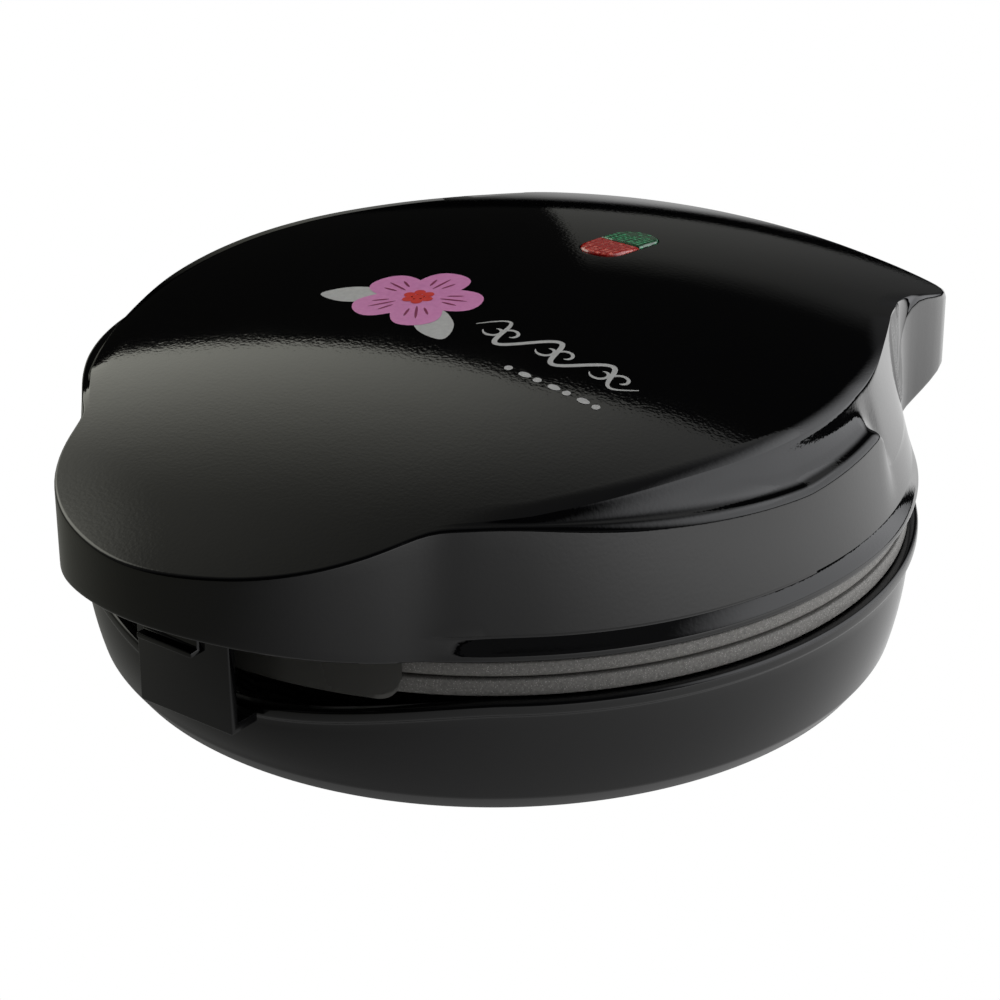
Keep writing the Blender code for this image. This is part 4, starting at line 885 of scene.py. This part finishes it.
def add_leaf(shape, x, y, length, width, turn, steps=28, tip=1.0):
    """A leaf or petal: a fan of triangles, cut finer, stretched and drawn to a point."""
    leaf = bmesh.new()
    bmesh.ops.create_circle(leaf, segments=steps, radius=1.0, cap_ends=True, cap_tris=True)
    bmesh.ops.subdivide_edges(leaf, edges=leaf.edges[:], cuts=2, use_grid_fill=True)
    cosine, sine = math.cos(turn), math.sin(turn)
    for vert in leaf.verts:
        along_leaf, across = vert.co.x, vert.co.y * (1 - 0.35 * tip * vert.co.x * abs(vert.co.x))
        px, py = (along_leaf + 1) * length / 2, across * width / 2
        vert.co = (x + px * cosine - py * sine, y + px * sine + py * cosine, 0)
    flat = bpy.data.meshes.new("leaf")
    leaf.to_mesh(flat)
    leaf.free()
    shape.from_mesh(flat)
    bpy.data.meshes.remove(flat)


def add_stroke(shape, path, width):
    """A ribbon of ink along a path: one short edge, extruded from point to point."""
    pair = None
    for i, (x, y) in enumerate(path):
        before, after = path[max(i - 1, 0)], path[min(i + 1, len(path) - 1)]
        run = Vector((after[0] - before[0], after[1] - before[1], 0)).normalized()
        taper = min(1.0, 0.25 + 4 * min(i, len(path) - 1 - i) / len(path))
        side_step = Vector((-run.y, run.x, 0)) * width * taper / 2
        if pair is None:
            pair = [shape.verts.new(Vector((x, y, 0)) + side_step), shape.verts.new(Vector((x, y, 0)) - side_step)]
            edge = shape.edges.new(pair)
        else:
            grown = bmesh.ops.extrude_edge_only(shape, edges=[edge])["geom"]
            edge = [part for part in grown if isinstance(part, bmesh.types.BMEdge)
                    and not any(vert in pair for vert in part.verts)][0]
            new = sorted(edge.verts, key=lambda vert: (vert.co - pair[0].co).length)
            new[0].co, new[1].co = Vector((x, y, 0)) + side_step, Vector((x, y, 0)) - side_step
            pair = new


# %% Blossom
bloom_x, bloom_y = -15 * mm, -13 * mm
shape = bmesh.new()
for i in range(2):
    turn = math.radians((200, 322)[i])
    add_leaf(shape, bloom_x + 8 * mm * math.cos(turn), bloom_y + 8 * mm * math.sin(turn), 19 * mm, 10 * mm, turn)
leaves = drape("blossom_leaves", shape, silver_ink, 0.06 * mm)
shape = bmesh.new()
petal_turns = [math.radians(90 + 72 * i) for i in range(5)]
for turn in petal_turns:
    add_leaf(shape, bloom_x + 1.5 * mm * math.cos(turn), bloom_y + 1.5 * mm * math.sin(turn), 16 * mm, 13.5 * mm,
             turn, tip=-0.8)
petals = drape("blossom_petals", shape, pink_ink, 0.10 * mm)
shape = bmesh.new()
for turn in petal_turns:
    for spread, start_r, end_r in ((0, 6.0, 13.5), (-0.26, 7.5, 12.0), (0.26, 7.5, 12.0)):
        cosine, sine = math.cos(turn + spread), math.sin(turn + spread)
        path = [(bloom_x + r * mm * cosine, bloom_y + r * mm * sine)
                for r in (start_r + (end_r - start_r) * j / 6 for j in range(7))]
        add_stroke(shape, path, 0.7 * mm)
veins = drape("blossom_petal_lines", shape, rose_ink, 0.14 * mm)
shape = bmesh.new()
for radius, count in ((0.0, 1), (2.9 * mm, 6)):
    for i in range(count):
        turn = math.tau * i / count
        add_leaf(shape, bloom_x + radius * math.cos(turn) - 1.5 * mm, bloom_y + radius * math.sin(turn), 3 * mm,
                 3 * mm, 0.0, 16, 0.0)
heart = drape("blossom_heart", shape, red_ink, 0.18 * mm)

# %% Running scroll
scroll_start, scroll_end = Vector((8 * mm, -18 * mm, 0)), Vector((60 * mm, -20 * mm, 0))
scroll_run = scroll_end - scroll_start
shape = bmesh.new()
waves, wave_height = 3, 6 * mm
path = []
for i in range(97):
    part = i / 96
    swing = math.sin(math.tau * waves * part) * wave_height * (1 - 0.35 * part)
    lean = 0.35 * swing
    path.append((scroll_start.x + scroll_run.x * part + lean, scroll_start.y + scroll_run.y * part + swing))
add_stroke(shape, path, 1.4 * mm)
for i in range(2 * waves):
    part = (i + 0.5) / (2 * waves)
    crest = (1 if i % 2 == 0 else -1) * (1 - 0.35 * part)
    curl_x = scroll_start.x + scroll_run.x * part + 0.35 * crest * wave_height
    curl_y = scroll_start.y + scroll_run.y * part - crest * 0.4 * mm
    curl = []
    for j in range(25):
        turn = math.tau * 0.75 * j / 24 * (1 if crest > 0 else -1) + math.radians(200)
        reach = (3.1 - 1.9 * j / 24) * mm
        curl.append((curl_x + reach * math.cos(turn), curl_y + reach * math.sin(turn)))
    add_stroke(shape, curl, 0.9 * mm)
scroll = drape("running_scroll", shape, silver_ink)
shape = bmesh.new()
for i in range(7):
    long_bead = i % 2
    add_leaf(shape, (28 + 4.6 * i) * mm, (-32 - 0.2 * i) * mm, (3.6 if long_bead else 2.2) * mm, 2.2 * mm, 0.0, 16,
             0.6 * long_bead)
dots = drape("scroll_beads", shape, silver_ink)
print("printed pieces: 6")

# %% [markdown]
# ## Screws, feet, gland and bottom cover
# Small fasteners are turned from short profiles.  Each screw head has a cross recess, cut with two
# crossed blades.

# %% Bottom cover and feet
cover_radius = floor_opening_radius + 6 * mm
shape = bmesh.new()
spin_profile(shape, [(0.0, -0.3 * mm), (cover_radius - 0.3 * mm, -0.3 * mm), (cover_radius, -0.6 * mm),
                     (cover_radius, -1.3 * mm), (cover_radius - 0.5 * mm, -1.7 * mm), (62 * mm, -1.7 * mm),
                     (61 * mm, -1.2 * mm), (59 * mm, -1.2 * mm), (58 * mm, -1.7 * mm), (0.0, -1.7 * mm)], 160)
bottom = place_on_machine("bottom_cover_panel", shape, black_matt, "base")
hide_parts("bottom_cover")
shape = bmesh.new()
for ring_number in range(4):
    for i in range(-4 + ring_number % 2, 5):
        slot_x, slot_y = i * 9 * mm, (ring_number - 1.5) * 16 * mm
        slot = Matrix.Translation((slot_x, slot_y, -1.5 * mm)) @ Matrix.Diagonal((3 * mm, 12 * mm, 0.8 * mm, 1.0))
        bmesh.ops.create_cube(shape, size=1.0, matrix=slot)
cut(bottom, tool_from("vent_grooves", shape), keep_sharp=20)
for name in ("front_left_foot", "front_right_foot", "rear_right_foot", "rear_left_foot"):
    low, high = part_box(name)
    x, y = (low.x + high.x) / 2, (low.y + high.y) / 2 - axis_y
    radius, height = (high.x - low.x) / 2, high.z - low.z
    top = high.z - foot_height
    shape = bmesh.new()
    spin_profile(shape, [(0.0, top), (radius, top), (radius, top - 0.5 * mm), (radius * 0.9, top - height + 0.5 * mm),
                         (radius * 0.85, top - height + 0.1 * mm), (radius * 0.8, top - height),
                         (0.0, top - height)], 40, x, y)
    foot = place_on_machine(name + "_pad", shape, rubber, "base", keep_sharp=30)
    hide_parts(name)

# %% Cord gland
shape = bmesh.new()
spin_profile(shape, [(3.6 * mm, -0.1 * mm), (5.5 * mm, 0.0), (5.5 * mm, 9.0 * mm), (7.7 * mm, 9.0 * mm),
                     (8.0 * mm, 9.4 * mm), (8.0 * mm, 10.5 * mm), (7.4 * mm, 11.0 * mm), (4.2 * mm, 11.0 * mm),
                     (3.6 * mm, 10.4 * mm), (3.6 * mm, -0.1 * mm)], 56)
bmesh.ops.transform(shape, verts=shape.verts[:], matrix=Matrix.Translation((0, ear_root_y, 15 * mm))
                    @ Matrix.Rotation(math.radians(-90), 4, "X"))
gland = place_on_machine("cord_gland_ring", shape, rubber, "base")
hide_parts("cord_gland")

# %% Screws
screw_names = [f"{group}_{i}" for group, count in (("bottom_cover_screw", 3), ("lower_plate_screw", 3),
                                                   ("upper_plate_screw", 3), ("handle_cover_screw", 2))
               for i in range(1, count + 1)]
for name in screw_names:
    low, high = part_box(name)
    x, y = (low.x + high.x) / 2, (low.y + high.y) / 2 - axis_y
    bottom_z, top_z = low.z - foot_height, high.z - foot_height
    up = 1 if name.startswith("lower") else -1
    head_z, tip_z = (top_z, bottom_z) if up > 0 else (bottom_z, top_z)
    head_radius = (high.x - low.x) / 2
    shape = bmesh.new()
    head_height = 1.05 * mm
    profile = [(0.0, 0.0), (head_radius * 0.75, 0.0), (head_radius * 0.95, 0.25 * mm), (head_radius, 0.5 * mm),
               (head_radius, head_height), (1.5 * mm, head_height), (1.5 * mm, abs(head_z - tip_z) - 1 * mm),
               (0.3 * mm, abs(head_z - tip_z)), (0.0, abs(head_z - tip_z))]
    spin_profile(shape, [(r, head_z - up * z) for r, z in profile], 32, x, y)
    screw = place_on_machine(name + "_cross", shape, plated, "lid" if name[:5] in ("upper", "handl") else "base",
                             keep_sharp=30)
    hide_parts(name)
    for quarter in (0, 90):
        shape = bmesh.new()
        blade = Matrix.Translation((x, y, head_z)) @ Matrix.Rotation(math.radians(quarter + 20), 4, "Z")
        bmesh.ops.create_cube(shape, size=1.0, matrix=blade @ Matrix.Diagonal((3.0 * mm, 0.7 * mm, 1.2 * mm, 1.0)))
        cut(screw, tool_from(f"{name}_recess_{quarter}", shape), keep_sharp=30)
print("screws with a cross recess:", len(screw_names), "faces each:", len(screw.data.polygons))

# %% [markdown]
# ## The studio
# A black gloss surface shows nothing but its surroundings, so these are drawn with care.  The machine
# stands on a floor that the camera sees as plain white.  To reflections and bounced light it glows with painted
# light instead of being lit: brighter toward the right rear, fading with distance, faintly warm at the front left,
# with a painted contact shadow around the base.  A large soft panel hangs behind it on the left, and the lid
# mirrors the panel's slanted lower edge as the boundary between its lit front and its black middle.  A pale
# strip at the horizon is mirrored at the back of the lid, and white paper stands on the right.

# %% Floor: plain white to the camera, painted light and a painted contact shadow in reflections
def stage_plane(name, corners, look):
    """A flat sheet from four corners."""
    shape = bmesh.new()
    shape.faces.new([shape.verts.new(corner) for corner in corners])
    mesh = bpy.data.meshes.new(name)
    shape.to_mesh(mesh)
    shape.free()
    mesh.materials.append(look)
    made = bpy.data.objects.new(name, mesh)
    bpy.context.scene.collection.objects.link(made)
    return made


def blend(tree, value, low, high, out_low=0.0, out_high=1.0):
    """A soft step from one output value to another while the input goes from low to high."""
    return add(tree, "ShaderNodeMapRange", {"Value": value, "From Min": low, "From Max": high, "To Min": out_low,
                                            "To Max": out_high}, interpolation_type="SMOOTHSTEP").outputs[0]


def times(tree, *values):
    """Multiply several sockets or numbers."""
    result = values[0]
    for value in values[1:]:
        result = add(tree, "ShaderNodeMath", {0: result, 1: value}, operation="MULTIPLY").outputs[0]
    return result


def plus(tree, *values):
    """Add up several sockets or numbers."""
    result = values[0]
    for value in values[1:]:
        result = add(tree, "ShaderNodeMath", {0: result, 1: value}).outputs[0]
    return result


def along(tree, vector, direction):
    """How far a vector points along a direction."""
    return add(tree, "ShaderNodeVectorMath", {0: vector, 1: direction}, operation="DOT_PRODUCT").outputs["Value"]


painted_light_floor = bpy.data.materials.new("white_floor_with_painted_light")
painted_light_floor.use_nodes = True
tree = painted_light_floor.node_tree
tree.nodes.clear()
spot = add(tree, "ShaderNodeMapping", {"Vector": add(tree, "ShaderNodeTexCoord").outputs["Object"],
                                       "Location": (0.0, -axis_y, 0.0)}).outputs[0]
distance = add(tree, "ShaderNodeVectorMath", {0: spot}, operation="LENGTH").outputs["Value"]
# Painted contact shadow: the floor's glow drops to a tenth under and close around the base.
painted_contact_shadow = blend(tree, distance, 0.097, 0.107, 0.10, 1.0)
# Painted light: the glow grows toward the right rear, fades with distance and is faintly warm at the front left.
painted_light_to_right_rear = plus(tree, blend(tree, along(tree, spot, (0.85, 0.53, 0.0)), -0.12, 0.12, 0.16, 0.62),
                     blend(tree, along(tree, spot, (0.85, 0.53, 0.0)), 0.05, 0.34, 0.0, 1.1))
painted_light_fade = blend(tree, distance, 0.45, 0.9, 1.0, 0.0)
painted_warm_tint = add(tree, "ShaderNodeMix", {0: blend(tree, along(tree, spot, (0.85, 0.53, 0.0)), -0.25, 0.0, 1.0, 0.0),
                                   6: colour("ffffff"), 7: colour("fdfeec")}, data_type="RGBA").outputs[2]
glow = add(tree, "ShaderNodeEmission", {"Color": painted_warm_tint, "Strength": times(tree, painted_contact_shadow, painted_light_to_right_rear, painted_light_fade)})
white = add(tree, "ShaderNodeEmission", {"Color": (1, 1, 1, 1), "Strength": 1.0})
seen = add(tree, "ShaderNodeLightPath").outputs["Is Camera Ray"]
both = add(tree, "ShaderNodeMixShader", {0: seen, 1: glow.outputs[0], 2: white.outputs[0]})
add(tree, "ShaderNodeOutputMaterial", {"Surface": both.outputs[0]})
floor = stage_plane("floor_with_painted_light", [(-3, -3, 0), (3, -3, 0), (3, 3, 0), (-3, 3, 0)], painted_light_floor)

# %% Panels and paper around the machine
def facing(azimuth, elevation):
    """Unit vector toward a point of the room; azimuth runs from behind the machine to its right."""
    a, e = math.radians(azimuth), math.radians(elevation)
    return Vector((math.sin(a) * math.cos(e), math.cos(a) * math.cos(e), math.sin(e)))


world = bpy.data.worlds.new("studio")
bpy.context.scene.world = world
world.use_nodes = True
tree = world.node_tree
tree.nodes.clear()
way = add(tree, "ShaderNodeTexCoord").outputs["Generated"]
height = along(tree, way, (0, 0, 1))

left_edge = facing(-40, 35.5).cross(facing(-57, 19.3)).normalized()
right_edge = facing(-20, 42.5).cross(facing(-35, 38.5)).normalized()
above_left, above_right = along(tree, way, left_edge), along(tree, way, right_edge)
above_edge = add(tree, "ShaderNodeMath", {0: above_left, 1: above_right}, operation="MAXIMUM").outputs[0]
panel = times(tree, blend(tree, above_edge, -0.006, 0.006), blend(tree, above_edge, 0.0, 0.30, 1.0, 0.26),
              blend(tree, along(tree, way, facing(-78, 20)), 0.62, 0.99, 0.36, 1.35),
              blend(tree, along(tree, way, facing(-50, 0)), -0.40, 0.05, 0.03, 1.0))
left_glow = blend(tree, along(tree, way, facing(-92, 32)), 0.90, 0.99, 0.0, 2.2)

strip_edge = facing(-37, -8).cross(facing(-35, 14)).normalized()
strip_edge = strip_edge if strip_edge.dot(facing(0, 0)) > 0 else -strip_edge
strip = times(tree, blend(tree, along(tree, way, strip_edge), -0.004, 0.004), blend(tree, height, 0.22, 0.34, 1.0, 0.0),
              blend(tree, along(tree, way, facing(-38, 4)), 0.955, 1.0, 0.07, 0.12))
right_paper = blend(tree, along(tree, way, facing(45, 20)), 0.62, 0.90, 0.0, 1.8)
light = plus(tree, panel, left_glow, strip, right_paper, 0.006)
tint = add(tree, "ShaderNodeMix", {0: blend(tree, along(tree, way, facing(-78, 20)), 0.35, 0.95),
                                   6: colour("fbfcff"), 7: colour("fffff2")}, data_type="RGBA").outputs[2]
dim = add(tree, "ShaderNodeBackground", {"Color": tint, "Strength": light})
bright = add(tree, "ShaderNodeBackground", {"Color": (1, 1, 1, 1), "Strength": 1.0})
seen = add(tree, "ShaderNodeLightPath").outputs["Is Camera Ray"]
both = add(tree, "ShaderNodeMixShader", {0: seen, 1: dim.outputs[0], 2: bright.outputs[0]})
add(tree, "ShaderNodeOutputWorld", {"Surface": both.outputs[0]})
bpy.context.scene.view_settings.view_transform = "Standard"
